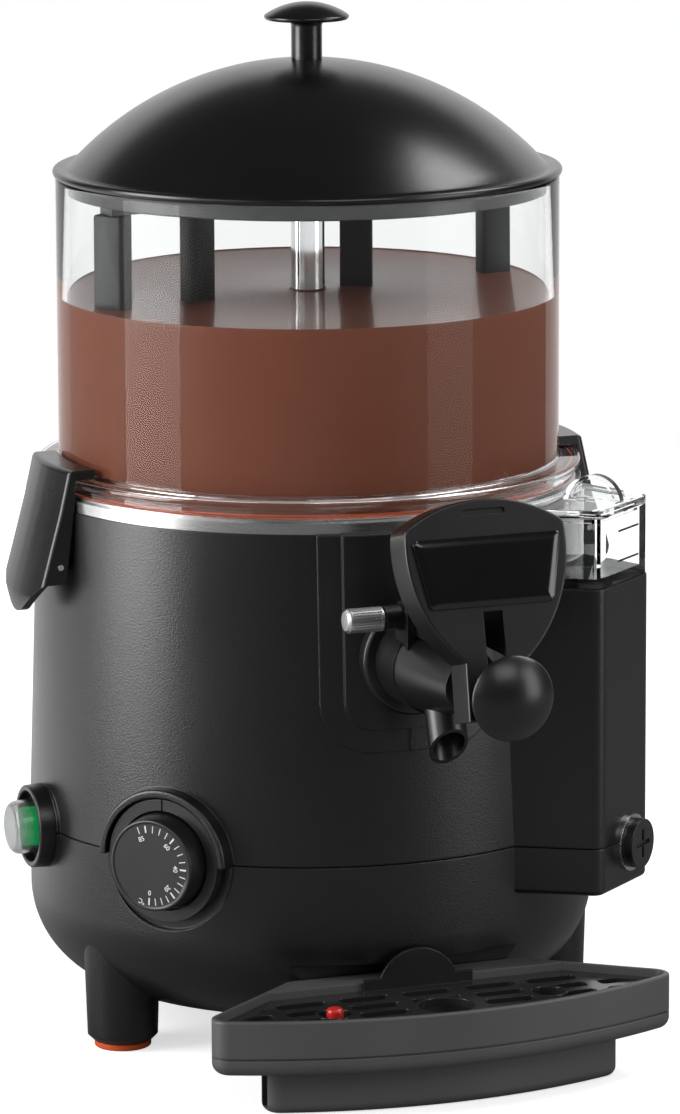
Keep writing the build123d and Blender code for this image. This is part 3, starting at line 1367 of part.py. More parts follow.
def drain_cap():
    """Screw cap of the drain, with a cross recess."""
    low = COLUMN_REACH + DRAIN_PLATE + RUNNING
    high = low + DRAIN_CAP_THICK
    cap = peg(COLUMN_ANGLE, DRAIN_Z, DRAIN_CAP_R, low, high, DRAIN_ACROSS)
    cap -= peg(COLUMN_ANGLE, DRAIN_Z, DRAIN_PIPE_R + RUNNING, 0, low + DRAIN_CAP_THICK / 2, DRAIN_ACROSS)
    bar = Rectangle(DRAIN_CAP_R * 1.2, DRAIN_RECESS)
    recess = bar + Rot(0, 0, 90) * bar
    plane = facing(COLUMN_ANGLE, high - DRAIN_RECESS / 2, DRAIN_Z, DRAIN_ACROSS)
    return cap - extrude(plane * recess, DRAIN_RECESS)


def in_front(y):
    """Everything in front of an upright plane."""
    return block((-FAR, FAR), (-FAR, y), (-FAR, FAR))


def grid_low():
    """Height of the grid's underside, which lies on the tray's ledge."""
    return GRID_TOP_Z - GRID_THICK


def drip_tray():
    """Drip tray that stands on the counter, with a ledge for its grid."""
    foot = tray_form(TRAY_STEP, 0, TRAY_SHOULDER_Z)
    foot = fillet(foot.edges().filter_by(Axis.Z).sort_by(Axis.Y)[:2], TRAY_CORNER)
    shoulder = tray_form(0, TRAY_SHOULDER_Z, TRAY_BAND_Z - TRAY_BAND_GROOVE / 2)
    band = tray_form(0, TRAY_BAND_Z + TRAY_BAND_GROOVE / 2, TRAY_RIM_Z)
    tray = fillet(foot.faces().sort_by(Axis.Z)[0].edges(), TRAY_FOOT_ROUND)
    tray += fillet(shoulder.faces().sort_by(Axis.Z)[0].edges(), TRAY_SHOULDER_ROUND)
    tray += tray_form(TRAY_BAND_GROOVE, TRAY_BAND_Z - TRAY_BAND_GROOVE, TRAY_BAND_Z + TRAY_BAND_GROOVE)
    tray += fillet(band.faces().sort_by(Axis.Z)[-1].edges(), TRAY_RIM_ROUND)
    deck_front = TAB_Y + GRID_GAP
    tray -= tray_form(TRAY_WALL, grid_low(), FAR) & in_front(deck_front)
    well = tray_form(TRAY_WALL + TRAY_LEDGE, TRAY_SHOULDER_Z + TRAY_FLOOR, FAR)
    well += tray_form(TRAY_STEP + TRAY_WALL, TRAY_FLOOR, FAR)
    tray -= well & in_front(deck_front - TRAY_LEDGE)
    half = TRAY_BACK_HALF - TRAY_WALL
    return tray - block(
        (-half, half), (deck_front + TRAY_WALL, TRAY_BACK_Y - TRAY_WALL), (0, TRAY_RIM_Z - TRAY_WALL)
    )


def drip_grid():
    """Slotted grid of the drip tray, with a half-round finger tab at its back."""
    low = grid_low()
    plate = tray_form(TRAY_WALL + GRID_GAP, low, GRID_TOP_Z) & in_front(TAB_Y)
    slots = Sketch()
    slot = RectangleRounded(GRID_SLOT_LENGTH, GRID_SLOT_WIDTH, GRID_SLOT_WIDTH / 3)
    for row in range(GRID_ROWS):
        for column in range(GRID_COLUMNS):
            x = (column - (GRID_COLUMNS - 1) / 2) * GRID_COLUMN_PITCH
            slots += Pos(x, TRAY_BACK_Y - GRID_FIRST_ROW - row * GRID_ROW_PITCH) * slot
    slots &= tray_plan(TRAY_WALL + GRID_GAP + GRID_BORDER)
    eyes = [(x, FLOAT_Y, FLOAT_HOLE_R) for x in (-FLOAT_X, FLOAT_X)]
    eyes.append((0, TRAY_BACK_Y - GRID_HOLE_OUT, GRID_HOLE_R))
    collar = Sketch()
    bore = Sketch()
    for x, y, radius in eyes:
        collar += Pos(x, y) * Circle(radius + TAB_THICK)
        bore += Pos(x, y) * Circle(radius)
    slots = slots - collar + bore
    plate -= extrude(Pos(0, 0, low) * slots, GRID_THICK)
    foot = block((-TAB_FOOT_HALF, TAB_FOOT_HALF), (TAB_Y - TAB_THICK, TAB_Y), (low, GRID_TOP_Z + TAB_FOOT_RISE))
    tab_z = GRID_TOP_Z + TAB_RISE - TAB_R
    tab = rod(TAB_R, (0, TAB_Y, tab_z), (0, TAB_Y - TAB_THICK, tab_z))
    tab &= block((-FAR, FAR), (-FAR, 0), (low, FAR))
    return plate + foot + tab


def level_float():
    """Red float that rises through the grid when the tray is full."""
    top = GRID_TOP_Z + FLOAT_RISE
    cap_low = top - FLOAT_CAP
    buoy_low = TRAY_SHOULDER_Z + TRAY_FLOOR + LOOSE
    place = (-FLOAT_X, FLOAT_Y)
    body = rod(FLOAT_R, (*place, cap_low), (*place, top))
    body = fillet(body.faces().sort_by(Axis.Z)[-1].edges(), FLOAT_R / 3)
    body += rod(FLOAT_STEM_R, (*place, buoy_low), (*place, cap_low))
    return body + rod(FLOAT_BUOY_R, (*place, buoy_low), (*place, buoy_low + FLOAT_BUOY))


def half_space(low, high):
    """Everything between two heights."""
    return block((-FAR, FAR), (-FAR, FAR), (low, high))


def all_nodes():
    """Every piece of the dispenser by its name."""
    shell = housing()
    return {
        "upper_housing": shell & half_space(SEAM_Z + SEAM_GAP / 2, FAR),
        "lower_housing": shell & half_space(0, SEAM_Z - SEAM_GAP / 2),
        "base_cover": base_cover(),
        "base_screws": base_screws(),
        "foot_pads": foot_pads(),
        "cable_gland": cable_gland(),
        "water_bath": water_bath(),
        "inner_pot": inner_pot(),
        "outlet_pipe": outlet_pipe(),
        "heating_element": heating_element(),
        "centre_tube": centre_tube(),
        "shaft_bushes": shaft_bushes(),
        "drive_shaft": drive_shaft(),
        "motor_bracket": motor_bracket(),
        "gear_motor": gear_motor(),
        "bowl": bowl(),
        "flange_seal": flange_seal(),
        "pot_seal": pot_seal(),
        "hot_chocolate": hot_chocolate(),
        "mixer_arm": mixer_arm(),
        "mixer_blades": mixer_blades(),
        "mixer_paddle": mixer_paddle(),
        "lid": lid(),
        "lid_knob": lid_knob(),
        "knob_screw": knob_screw(),
        "latch_right": latch(1),
        "latch_left": latch(-1),
        "latch_pins": Compound(children=[latch_pin(1), latch_pin(-1)]),
        "tap_panel": tap_panel(),
        "tap_flange": tap_flange(),
        "tap_body": tap_body(),
        "spout": spout(),
        "piston": piston(),
        "piston_seals": piston_seals(),
        "lever": lever(),
        "lever_knob": lever_knob(),
        "thumb_screw": thumb_screw(),
        "shield": shield(),
        "shield_plate": shield_plate(),
        "dial_ring": dial_ring(),
        "dial": dial(),
        "dial_spindle": dial_spindle(),
        "thermostat": thermostat(),
        "switch_collar": switch_collar(),
        "switch_body": switch_body(),
        "switch_rocker": switch_rocker(),
        "switch_boot": switch_boot(),
        "filler_tank": filler_tank(),
        "filler_lid": filler_lid(),
        "drain_valve": drain_valve(),
        "drain_cap": drain_cap(),
        "drip_tray": drip_tray(),
        "drip_grid": drip_grid(),
        "level_float": level_float(),
    }


os.makedirs("parts", exist_ok=True)
for name, solid in all_nodes().items():
    export_step(solid, f"parts/{name}.step")
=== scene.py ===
"""Looks of a countertop hot chocolate dispenser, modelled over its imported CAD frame."""

import json
from math import acos, atan2, cos, pi, radians, sin, sqrt, tan

import bpy
from bpy.props import FloatProperty, FloatVectorProperty, IntProperty, PointerProperty
from mathutils import Matrix, Vector


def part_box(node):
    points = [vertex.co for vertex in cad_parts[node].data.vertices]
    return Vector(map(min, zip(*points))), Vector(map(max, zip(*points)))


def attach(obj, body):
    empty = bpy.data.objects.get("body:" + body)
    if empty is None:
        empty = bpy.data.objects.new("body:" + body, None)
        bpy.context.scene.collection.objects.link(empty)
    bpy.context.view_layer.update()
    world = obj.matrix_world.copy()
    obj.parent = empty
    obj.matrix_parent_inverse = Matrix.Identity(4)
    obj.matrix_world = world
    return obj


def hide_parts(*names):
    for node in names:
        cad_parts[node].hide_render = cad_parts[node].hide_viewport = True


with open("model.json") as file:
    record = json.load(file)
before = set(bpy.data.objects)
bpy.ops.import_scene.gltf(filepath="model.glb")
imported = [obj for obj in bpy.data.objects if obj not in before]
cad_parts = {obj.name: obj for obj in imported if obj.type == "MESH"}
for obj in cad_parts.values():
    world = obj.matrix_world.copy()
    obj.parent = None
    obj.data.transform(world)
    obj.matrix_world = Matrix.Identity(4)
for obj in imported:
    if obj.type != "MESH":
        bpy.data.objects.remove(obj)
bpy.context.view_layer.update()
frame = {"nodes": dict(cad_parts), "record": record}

bl_info = {
    "name": "Hot chocolate dispenser",
    "version": (1, 0, 0),
    "blender": (4, 5, 0),
    "location": "View3D > Sidebar > Dispenser",
    "description": "Models the visible pieces of a hot chocolate dispenser over its CAD frame",
    "category": "Object",
}

MM = 0.001
DIAL_ANGLE = radians(-50.5)
SWITCH_ANGLE = radians(-90.0)
COLUMN_ANGLE = radians(40.0)
PAD_ANGLES = [radians(a) for a in (-71.8, 71.8, 150.0, -150.0)]
CORNER_STEPS = 5
# Heights where the bowl's thick foot ends and just under the chocolate's open surface.
BOWL_FOOT = 0.2505
LIQUID_TOP = 0.3207
# Distance of the foot of the switch's boot from the machine's axis.
BOOT_FOOT = 0.1305
UP = Vector((0.0, 0.0, 1.0))
WHITE = (1.0, 1.0, 1.0, 1.0)


def length(name, description, default):
    """Property for a length in metres."""
    return FloatProperty(
        name=name, description=description, default=default, unit="LENGTH", subtype="DISTANCE", precision=5
    )


def colour(name, description, default):
    """Property for a linear colour."""
    return FloatVectorProperty(
        name=name, description=description, default=default, size=3, subtype="COLOR", min=0.0, max=1.0
    )


def power(name, description, default):
    """Property for a lamp's power in watts."""
    return FloatProperty(name=name, description=description, default=default, unit="POWER")


class FinishSettings(bpy.types.PropertyGroup):
    """Colours of the dispenser's finishes."""

    housing: colour("Housing", "Satin black of the housing, latches and tap", (0.0065, 0.0065, 0.0068))
    lid: colour("Lid", "Semi-gloss black of the lid and its knob", (0.004, 0.004, 0.0042))
    plate: colour("Plate", "Gloss black of the plate on the tap's shield", (0.002, 0.002, 0.002))
    tray: colour("Tray", "Dark grey of the drip tray", (0.085, 0.085, 0.086))
    grid: colour("Grid", "Gloss black of the drip grid", (0.020, 0.020, 0.020))
    dial: colour("Dial", "Dark grey of the dial", (0.013, 0.013, 0.0135))
    ring: colour("Ring", "Grey of the ring round the dial and the switch's collar", (0.014, 0.014, 0.0145))
    print_ink: colour("Print", "White of the dial's scale", (0.85, 0.85, 0.84))
    chocolate: colour("Chocolate", "Colour of the hot chocolate", (0.090, 0.0285, 0.0155))
    silicone: colour("Silicone", "Orange of the seals and the foot pads", (0.62, 0.085, 0.014))
    rocker: colour("Rocker", "Green of the lit rocker", (0.004, 0.38, 0.10))
    level_float: colour("Float", "Red of the level float", (0.60, 0.02, 0.015))


class LidSettings(bpy.types.PropertyGroup):
    """Sizes of the lid and its knob."""

    dome_radius: length("Dome radius", "Radius of curvature of the dome", 0.1406)
    wall: length("Wall", "Thickness of the dome", 0.0026)
    lip_height: length("Lip height", "Height of the bead on the bowl's edge", 0.0042)
    shoulder: length("Shoulder", "Flat width between the bead and the dome", 0.0072)
    skirt_wall: length("Skirt wall", "Thickness of the skirt inside the bowl", 0.0024)
    skirt_gap: length("Skirt gap", "Distance from the bead's edge in to the skirt", 0.0055)
    stem_radius: length("Stem radius", "Radius of the knob's stem", 0.00675)
    knob_rise: length("Knob dome", "Height of the knob's domed top", 0.006)


class BowlSettings(bpy.types.PropertyGroup):
    """Sizes of the bowl and what is in it."""

    wall: length("Wall", "Thickness of the bowl", 0.0035)
    flange_width: length("Flange width", "How far the flange stands out from the bowl", 0.0093)
    flange_height: length("Flange height", "Height of the stepped flange", 0.0074)
    flange_step: length("Flange step", "Depth of the step under the flange", 0.002)
    edge: length("Edge", "Rounding of the bowl's rims", 0.0012)
    meniscus: length("Meniscus", "Height of the liquid's edge at the walls", 0.0007)
    blade_width: length("Blade width", "Width of a mixer blade", 0.0145)
    blade_thick: length("Blade thickness", "Thickness of a mixer blade", 0.0085)


class TapSettings(bpy.types.PropertyGroup):
    """Sizes of the tap's small pieces."""

    knob_dome: length("Knob dome", "Height of the lever knob's dome", 0.0075)
    flange_round: length("Flange rounding", "Rounding of the flange's rim", 0.0006)
    knurls: IntProperty(name="Knurls", description="Ridges round the thumb screw", default=26, min=8)
    knurl_depth: length("Knurl depth", "Depth of the grooves between the ridges", 0.0005)


class DialSettings(bpy.types.PropertyGroup):
    """Sizes of the dial's scale."""

    tick_inner: length("Tick inner radius", "Inner end of the scale's lines", 0.0143)
    tick_outer: length("Tick outer radius", "Outer end of the scale's lines", 0.0174)
    tick_width: length("Tick width", "Width of a thin line", 0.00042)
    bold_width: length("Bold tick width", "Width of the lines at every twentieth degree", 0.00075)
    number_height: length("Number height", "Height of the numbers", 0.0022)
    number_radius: length("Number radius", "Radius at which the numbers stand", 0.0120)
    print_height: length("Print height", "Thickness of the printed scale", 0.00006)


class StageSettings(bpy.types.PropertyGroup):
    """Floor, light and camera."""

    floor: colour("Floor", "Colour of the floor", (0.82, 0.82, 0.82))
    floor_lift: FloatProperty(name="Floor lift", description="Glow that keeps the floor white", default=0.62)
    key: power("Key", "Power of the tall soft box on the left", 24.0)
    fill: power("Fill", "Power of the soft box high on the right", 8.0)
    front: power("Front", "Power of the large soft box in front", 12.0)
    left: power("Left", "Power of the soft box left of the camera", 2.0)
    side: power("Side", "Power of the low soft box on the right", 6.0)


def settings():
    """All settings of the add-on."""
    return bpy.context.scene.dispenser


class DispenserSettings(bpy.types.PropertyGroup):
    """Everything that can be changed."""

    finish: PointerProperty(type=FinishSettings)
    lid: PointerProperty(type=LidSettings)
    bowl: PointerProperty(type=BowlSettings)
    tap: PointerProperty(type=TapSettings)
    dial: PointerProperty(type=DialSettings)
    stage: PointerProperty(type=StageSettings)


class Signal:
    """Output of a shader node that can be used in sums."""

    def __init__(self, shader, socket):
        self.shader = shader
        self.socket = socket

    def sum(self, operation, first, second):
        return self.shader.add("ShaderNodeMath", {"operation": operation}, {0: first, 1: second})

    def __add__(self, other):
        return self.sum("ADD", self, other)

    def __radd__(self, other):
        return self.sum("ADD", other, self)

    def __sub__(self, other):
        return self.sum("SUBTRACT", self, other)

    def __rsub__(self, other):
        return self.sum("SUBTRACT", other, self)

    def __mul__(self, other):
        return self.sum("MULTIPLY", self, other)

    def __rmul__(self, other):
        return self.sum("MULTIPLY", other, self)


class Shader:
    """Node tree of one material or of the world."""

    def __init__(self, owner):
        owner.use_nodes = True
        self.owner = owner
        self.tree = owner.node_tree
        self.tree.nodes.clear()

    def add(self, kind, setup=None, sockets=None, output=0):
        """Adds a node, sets it up, fills its sockets and gives one of its outputs."""
        node = self.tree.nodes.new(kind)
        for name, value in (setup or {}).items():
            if name == "stops":
                self.set_stops(node.color_ramp, value)
            else:
                setattr(node, name, value)
        for key, value in (sockets or {}).items():
            if isinstance(value, Signal):
                self.tree.links.new(value.socket, node.inputs[key])
            else:
                node.inputs[key].default_value = value
        return Signal(self, node.outputs[output]) if node.outputs else None

    @staticmethod
    def set_stops(ramp, stops):
        """Gives a colour ramp its stops."""
        while len(ramp.elements) < len(stops):
            ramp.elements.new(1.0)
        for element, (place, value) in zip(ramp.elements, stops):
            element.position = place
            element.color = (value, value, value, 1.0)

    def place(self, stretch=(1.0, 1.0, 1.0)):
        """Object coordinates, stretched along the axes."""
        point = self.add("ShaderNodeTexCoord", output="Object")
        return self.add("ShaderNodeMapping", sockets={"Vector": point, "Scale": stretch})

    def noise(self, scale, detail=2.0, stretch=(1.0, 1.0, 1.0)):
        """Noise between 0 and 1."""
        return self.add(
            "ShaderNodeTexNoise",
            sockets={"Vector": self.place(stretch), "Scale": scale, "Detail": detail, "Roughness": 0.55},
            output="Fac",
        )

    def ramp(self, signal, *stops):
        """Signal turned into another by a ramp."""
        return self.add("ShaderNodeValToRGB", {"stops": stops}, {"Fac": signal})

    def blend(self, factor, first, second):
        """Mix of two colours."""
        setup = {"data_type": "RGBA", "clamp_factor": True}
        return self.add("ShaderNodeMix", setup, {0: factor, 6: (*first, 1.0), 7: (*second, 1.0)}, 2)

    def mix(self, factor, first, second):
        """Mix of two shaders."""
        return self.add("ShaderNodeMixShader", sockets={0: factor, 1: first, 2: second})

    def principled(self, sockets):
        """Principled shader."""
        return self.add("ShaderNodeBsdfPrincipled", sockets=sockets)

    def along(self, axis):
        """Object coordinate along one axis."""
        return self.add("ShaderNodeSeparateXYZ", sockets={"Vector": self.place()}, output=axis)

    def ray(self, kind):
        """1 for one kind of ray."""
        return self.add("ShaderNodeLightPath", output=kind)

    def rounded(self, radius):
        """Normal that softens hard edges."""
        return self.add("ShaderNodeBevel", {"samples": 4}, {"Radius": radius})

    def bump(self, height, strength, distance, normal):
        """Normal bumped by a height."""
        sockets = {"Height": height, "Strength": strength, "Distance": distance, "Normal": normal}
        return self.add("ShaderNodeBump", sockets=sockets)

    def surface(self, shader):
        """Ends the tree of a material."""
        self.add("ShaderNodeOutputMaterial", sockets={"Surface": shader})
        return self.owner

    def see_through(self, body, shade):
        """Ends the tree of a clear material, whose shadow only tints the light."""
        empty = self.add("ShaderNodeBsdfTransparent", sockets={"Color": (*shade, 1.0)})
        return self.surface(self.mix(self.ray("Is Shadow Ray"), body, empty))


def new_shader(name):
    """Shader of a new material."""
    return Shader(bpy.data.materials.new(name))


def scaled(shade, factor):
    """Colour made lighter or darker."""
    return tuple(min(1.0, channel * factor) for channel in shade)


def moulded(name, shade, roughness, grain, soft=0.0006, coat=0.0, level=0.5):
    """Moulded plastic with a fine grain, faint clouds of wear and soft edges."""
    shader = new_shader(name)
    cloud = shader.noise(22.0, 4.0)
    speck = shader.noise(1300.0, 2.0)
    return shader.surface(shader.principled({
        "Base Color": shader.blend(cloud, scaled(shade, 0.82), scaled(shade, 1.2)),
        "Roughness": roughness - 0.05 + cloud * 0.1,
        "IOR": 1.6,
        "Specular IOR Level": level,
        "Coat Weight": coat,
        "Coat Roughness": 0.08,
        "Normal": shader.bump(speck, grain, 0.00025, shader.rounded(soft)),
    }))


def brushed(name, shade, roughness, stretch):
    """Brushed metal with fine lines across the stretched axes."""
    shader = new_shader(name)
    lines = shader.noise(420.0, 3.0, stretch)
    cloud = shader.noise(30.0, 3.0)
    return shader.surface(shader.principled({
        "Base Color": shader.blend(cloud, scaled(shade, 0.9), scaled(shade, 1.05)),
        "Metallic": 1.0,
        "Roughness": roughness + lines * 0.14,
        "Normal": shader.bump(lines, 0.12, 0.00005, shader.rounded(0.0004)),
    }))


def polished(name, shade, roughness):
    """Polished metal with faint smears."""
    shader = new_shader(name)
    smear = shader.noise(45.0, 4.0)
    return shader.surface(shader.principled({
        "Base Color": shader.blend(smear, scaled(shade, 0.92), shade),
        "Metallic": 1.0,
        "Roughness": roughness + smear * 0.08,
        "Normal": shader.rounded(0.0001),
    }))


def clear(name, shade, roughness, foot):
    """Clear plastic that lets light through, with stronger reflections below the height of its foot."""
    shader = new_shader(name)
    smear = shader.noise(35.0, 4.0)
    tint = shader.blend(smear, scaled(shade, 0.97), shade)
    thin, thick = (
        shader.principled({
            "Base Color": tint,
            "Roughness": roughness + smear * 0.02,
            "IOR": bend,
            "Transmission Weight": 1.0,
        })
        for bend in (1.16, 1.45)
    )
    low = shader.ramp((shader.along("Z") - foot) * (0.5 / MM), (0.0, 1.0), (1.0, 0.0))
    return shader.see_through(shader.mix(low, thin, thick), shade)


def milky(name, shade):
    """Soft clear rubber, milkier towards the boot's end."""
    shader = new_shader(name)
    cloud = shader.noise(160.0, 3.0)
    thin = shader.principled({
        "Base Color": shader.blend(cloud, (0.88, 0.90, 0.89), (0.97, 0.98, 0.97)),
        "Roughness": 0.06 + cloud * 0.08,
        "IOR": 1.3,
        "Transmission Weight": 1.0,
    })
    thick = shader.principled({
        "Base Color": shader.blend(cloud, scaled(shade, 0.7), shade),
        "Roughness": 0.3 + cloud * 0.1,
    })
    milk = shader.ramp((shader.along("X") + BOOT_FOOT) * -100.0, (0.25, 0.04), (0.85, 0.42))
    return shader.see_through(shader.mix(milk, thin, thick), shade)


def liquid(name, shade):
    """Opaque chocolate with slow streaks of cocoa, glossy on its open surface."""
    shader = new_shader(name)
    streak = shader.noise(16.0, 4.0, (1.0, 1.0, 0.4))
    return shader.surface(shader.principled({
        "Base Color": shader.blend(streak, scaled(shade, 0.9), scaled(shade, 1.1)),
        "Roughness": 0.34 + streak * 0.1,
        "Specular IOR Level": 0.12,
        "Coat Weight": shader.ramp((shader.along("Z") - LIQUID_TOP) * (2.0 / MM), (0.0, 0.0), (1.0, 0.26)),
        "Coat Roughness": 0.07,
        "Coat IOR": 1.33,
    }))


def silicone(name, shade):
    """Matt silicone with a dusty bloom."""
    shader = new_shader(name)
    bloom = shader.noise(60.0, 4.0)
    return shader.surface(shader.principled({
        "Base Color": shader.blend(bloom, scaled(shade, 0.85), scaled(shade, 1.15)),
        "Roughness": 0.5 + bloom * 0.15,
        "IOR": 1.41,
        "Normal": shader.bump(shader.noise(1500.0), 0.1, 0.00005, shader.rounded(0.0004)),
    }))


def lit(name, shade):
    """Clear coloured plastic lit from behind."""
    shader = new_shader(name)
    glow = shader.noise(90.0, 2.0)
    return shader.surface(shader.principled({
        "Base Color": shader.blend(glow, scaled(shade, 0.8), shade),
        "Roughness": 0.2 + glow * 0.1,
        "Emission Color": shader.blend(glow, scaled(shade, 0.7), shade),
        "Emission Strength": 0.35,
        "Normal": shader.rounded(0.0005),
    }))


def printed(name, shade):
    """Print, a little worn."""
    shader = new_shader(name)
    worn = shader.noise(900.0, 3.0)
    return shader.surface(shader.principled({
        "Base Color": shader.blend(worn, scaled(shade, 0.8), shade),
        "Roughness": 0.45 + worn * 0.1,
    }))


def make_finishes():
    """Material of every slot of the record, and of the looks that differ from their slot."""
    hue = settings().finish
    return {
        "black_plastic": moulded("satin_housing", hue.housing, 0.31, 0.40, 0.001),
        # Darker, less glossy copy of the housing's black: painted shade for the blades inside the covered
        # bowl.
        "shaded_blade_plastic": moulded("matt_blades", scaled(hue.housing, 0.5), 0.40, 0.1, level=0.15),
        "lid_plastic": moulded("semi_gloss_lid", hue.lid, 0.26, 0.16),
        "latch_plastic": moulded("satin_latch", hue.housing, 0.28, 0.10, 0.0006),
        "tap_plastic": moulded("satin_tap", hue.housing, 0.31, 0.10, 0.0004),
        "plate_plastic": moulded("gloss_plate", hue.plate, 0.14, 0.02, 0.0005, 0.4),
        "tray_plastic": moulded("tray_plastic", hue.tray, 0.46, 0.14, 0.001),
        "grid_plastic": moulded("gloss_grid", hue.grid, 0.18, 0.05),
        "dial_plastic": moulded("dial_plastic", hue.dial, 0.36, 0.08, 0.0005),
        "ring_grey": moulded("ring_plastic", hue.ring, 0.36, 0.08, 0.0005),
        "clear_plastic": clear("clear_plastic", (0.97, 0.98, 0.98), 0.01, 0.0),
        "bowl_plastic": clear("clear_bowl", (0.97, 0.98, 0.98), 0.01, BOWL_FOOT),
        # Darker copy of the orange silicone: painted shade for the seals under the chocolate, seen through
        # the bowl.
        "seal_silicone": silicone("seal_silicone", scaled(hue.silicone, 0.55)),
        "clear_rubber": milky("milky_boot", (0.26, 0.27, 0.265)),
        "orange_silicone": silicone("orange_silicone", hue.silicone),
        "black_rubber": silicone("black_rubber", (0.012, 0.012, 0.012)),
        "steel": brushed("brushed_steel", (0.62, 0.62, 0.62), 0.20, (0.05, 0.05, 1.0)),
        "bright_steel": polished("bright_steel", (0.78, 0.78, 0.79), 0.05),
        "knurled_steel": polished("knurled_steel", (0.85, 0.85, 0.85), 0.34),
        "motor_paint": moulded("motor_paint", (0.05, 0.055, 0.06), 0.45, 0.1),
        "bush_bronze": brushed("bronze", (0.45, 0.28, 0.10), 0.30, (1.0, 1.0, 0.1)),
        "chocolate": liquid("hot_chocolate", hue.chocolate),
        "white_plastic": moulded("white_plastic", (0.72, 0.72, 0.70), 0.35, 0.05),
        "white_print": printed("white_print", hue.print_ink),
        "green_plastic": lit("lit_rocker", hue.rocker),
        "red_plastic": moulded("red_float", hue.level_float, 0.3, 0.05),
    }


FINISHES = {}


def finish(look):
    """Material of a slot or look, made on first use."""
    if not FINISHES:
        FINISHES.update(make_finishes())
    return FINISHES[look]


def dress(piece, name, body, slot, *nodes, look=None):
    """Names a finished piece, gives it its material and its body, and hides the nodes that it stands for."""
    piece.name = name
    piece.data.name = name
    piece.data.materials.clear()
    piece.data.materials.append(finish(look or slot))
    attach(piece, body)
    if nodes:
        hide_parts(*nodes)


def middle(node):
    """Centre of a CAD node's box."""
    low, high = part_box(node)
    return (low + high) / 2


def reach(node, way):
    """Nearest and furthest place of a CAD node along a direction."""
    places = [vertex.co.dot(way) for vertex in frame["nodes"][node].data.vertices]
    return min(places), max(places)


def outwards(angle):
    """Level direction at an angle round the machine, counted from the front."""
    return Vector((sin(angle), -cos(angle), 0.0))


def facing(angle, centre):
    """Place whose Z points outwards at an angle round the machine and whose Y points up."""
    out = outwards(angle)
    return Matrix.Translation(centre) @ Matrix((UP.cross(out), UP, out)).transposed().to_4x4()


def deselect():
    """Leaves nothing selected."""
    bpy.ops.object.select_all(action="DESELECT")


def pick(*pieces):
    """Selects pieces alone, the first of them active."""
    deselect()
    for piece in pieces:
        piece.select_set(True)
    bpy.context.view_layer.objects.active = pieces[0]


def edit(piece):
    """Opens a piece in edit mode with all of it selected."""
    pick(piece)
    bpy.ops.object.mode_set(mode="EDIT")
    bpy.ops.mesh.select_mode(type="VERT")
    bpy.ops.mesh.select_all(action="SELECT")


def close_edit():
    """Leaves edit mode."""
    bpy.ops.object.mode_set(mode="OBJECT")


def select_where(piece, kind, test):
    """Selects the faces or the edges of a piece in edit mode that pass a test."""
    bpy.ops.mesh.select_mode(type=kind)
    bpy.ops.mesh.select_all(action="DESELECT")
    bpy.ops.object.mode_set(mode="OBJECT")
    for item in piece.data.polygons if kind == "FACE" else piece.data.edges:
        item.select = test(item)
    bpy.ops.object.mode_set(mode="EDIT")


def smooth(piece, angle=40.0):
    """Shades a piece smooth except at its sharp edges."""
    pick(piece)
    bpy.ops.object.shade_smooth_by_angle(angle=radians(angle))


def settle(piece, place):
    """Moves a piece to its place and applies it."""
    pick(piece)
    piece.matrix_world = place
    bpy.ops.object.transform_apply(location=True, rotation=True, scale=True)
    return piece


def apply_all(piece):
    """Applies a piece's modifiers in order."""
    pick(piece)
    for modifier in list(piece.modifiers):
        bpy.ops.object.modifier_apply(modifier=modifier.name)


def soften(piece, width, angle=35.0):
    """Rounds a piece's hard edges with an applied bevel."""
    bevel = piece.modifiers.new("edges", "BEVEL")
    bevel.width = width
    bevel.segments = 2
    bevel.limit_method = "ANGLE"
    bevel.angle_limit = radians(angle)
    apply_all(piece)
    smooth(piece)
    flat = piece.modifiers.new("flat_faces", "WEIGHTED_NORMAL")
    flat.keep_sharp = True
    apply_all(piece)


def copy(piece):
    """Copy of a piece with its own mesh."""
    pick(piece)
    bpy.ops.object.duplicate(linked=False)
    return bpy.context.active_object


def join(pieces):
    """Joins pieces into the first."""
    pick(*pieces)
    bpy.ops.object.join()
    return bpy.context.active_object


def repeated(first, places):
    """Copies of a piece at its places, joined, without the piece itself."""
    copies = [settle(copy(first), place) for place in places]
    pick(first)
    bpy.ops.object.delete()
    return join(copies)


def corner(before, point, after, radius):
    """Points of the arc that rounds one corner of an outline."""
    point = Vector(point)
    to_before = (Vector(before) - point).normalized()
    to_after = (Vector(after) - point).normalized()
    half = acos(max(-1.0, min(1.0, to_before.dot(to_after)))) / 2
    if half > pi / 2 - 0.02:
        return [tuple(point)]
    centre = point + (to_before + to_after).normalized() * radius / sin(half)
    start = point + to_before * radius / tan(half) - centre
    end = point + to_after * radius / tan(half) - centre
    first = atan2(start.y, start.x)
    turn = (atan2(end.y, end.x) - first + pi) % (2 * pi) - pi
    angles = [first + turn * i / CORNER_STEPS for i in range(CORNER_STEPS + 1)]
    return [(centre.x + radius * cos(a), centre.y + radius * sin(a)) for a in angles]


def outline(*points, closed=False):
    """Radii and heights along an outline, whose points may carry a rounding as a third number."""
    flat = [Vector(point[:2]) for point in points]
    run = []
    for i, point in enumerate(points):
        ends = not closed and i in (0, len(points) - 1)
        if len(point) == 2 or ends:
            run.append(tuple(point[:2]))
        else:
            run.extend(corner(flat[i - 1], flat[i], flat[(i + 1) % len(flat)], point[2]))
    return run + run[:1] if closed else run


def dome(radius, centre, start, end, steps=24):
    """Points of an arc about a point on the axis, from one radius to another."""
    spots = [start + (end - start) * i / steps for i in range(steps + 1)]
    return [(spot, centre + sqrt(radius**2 - spot**2)) for spot in spots]


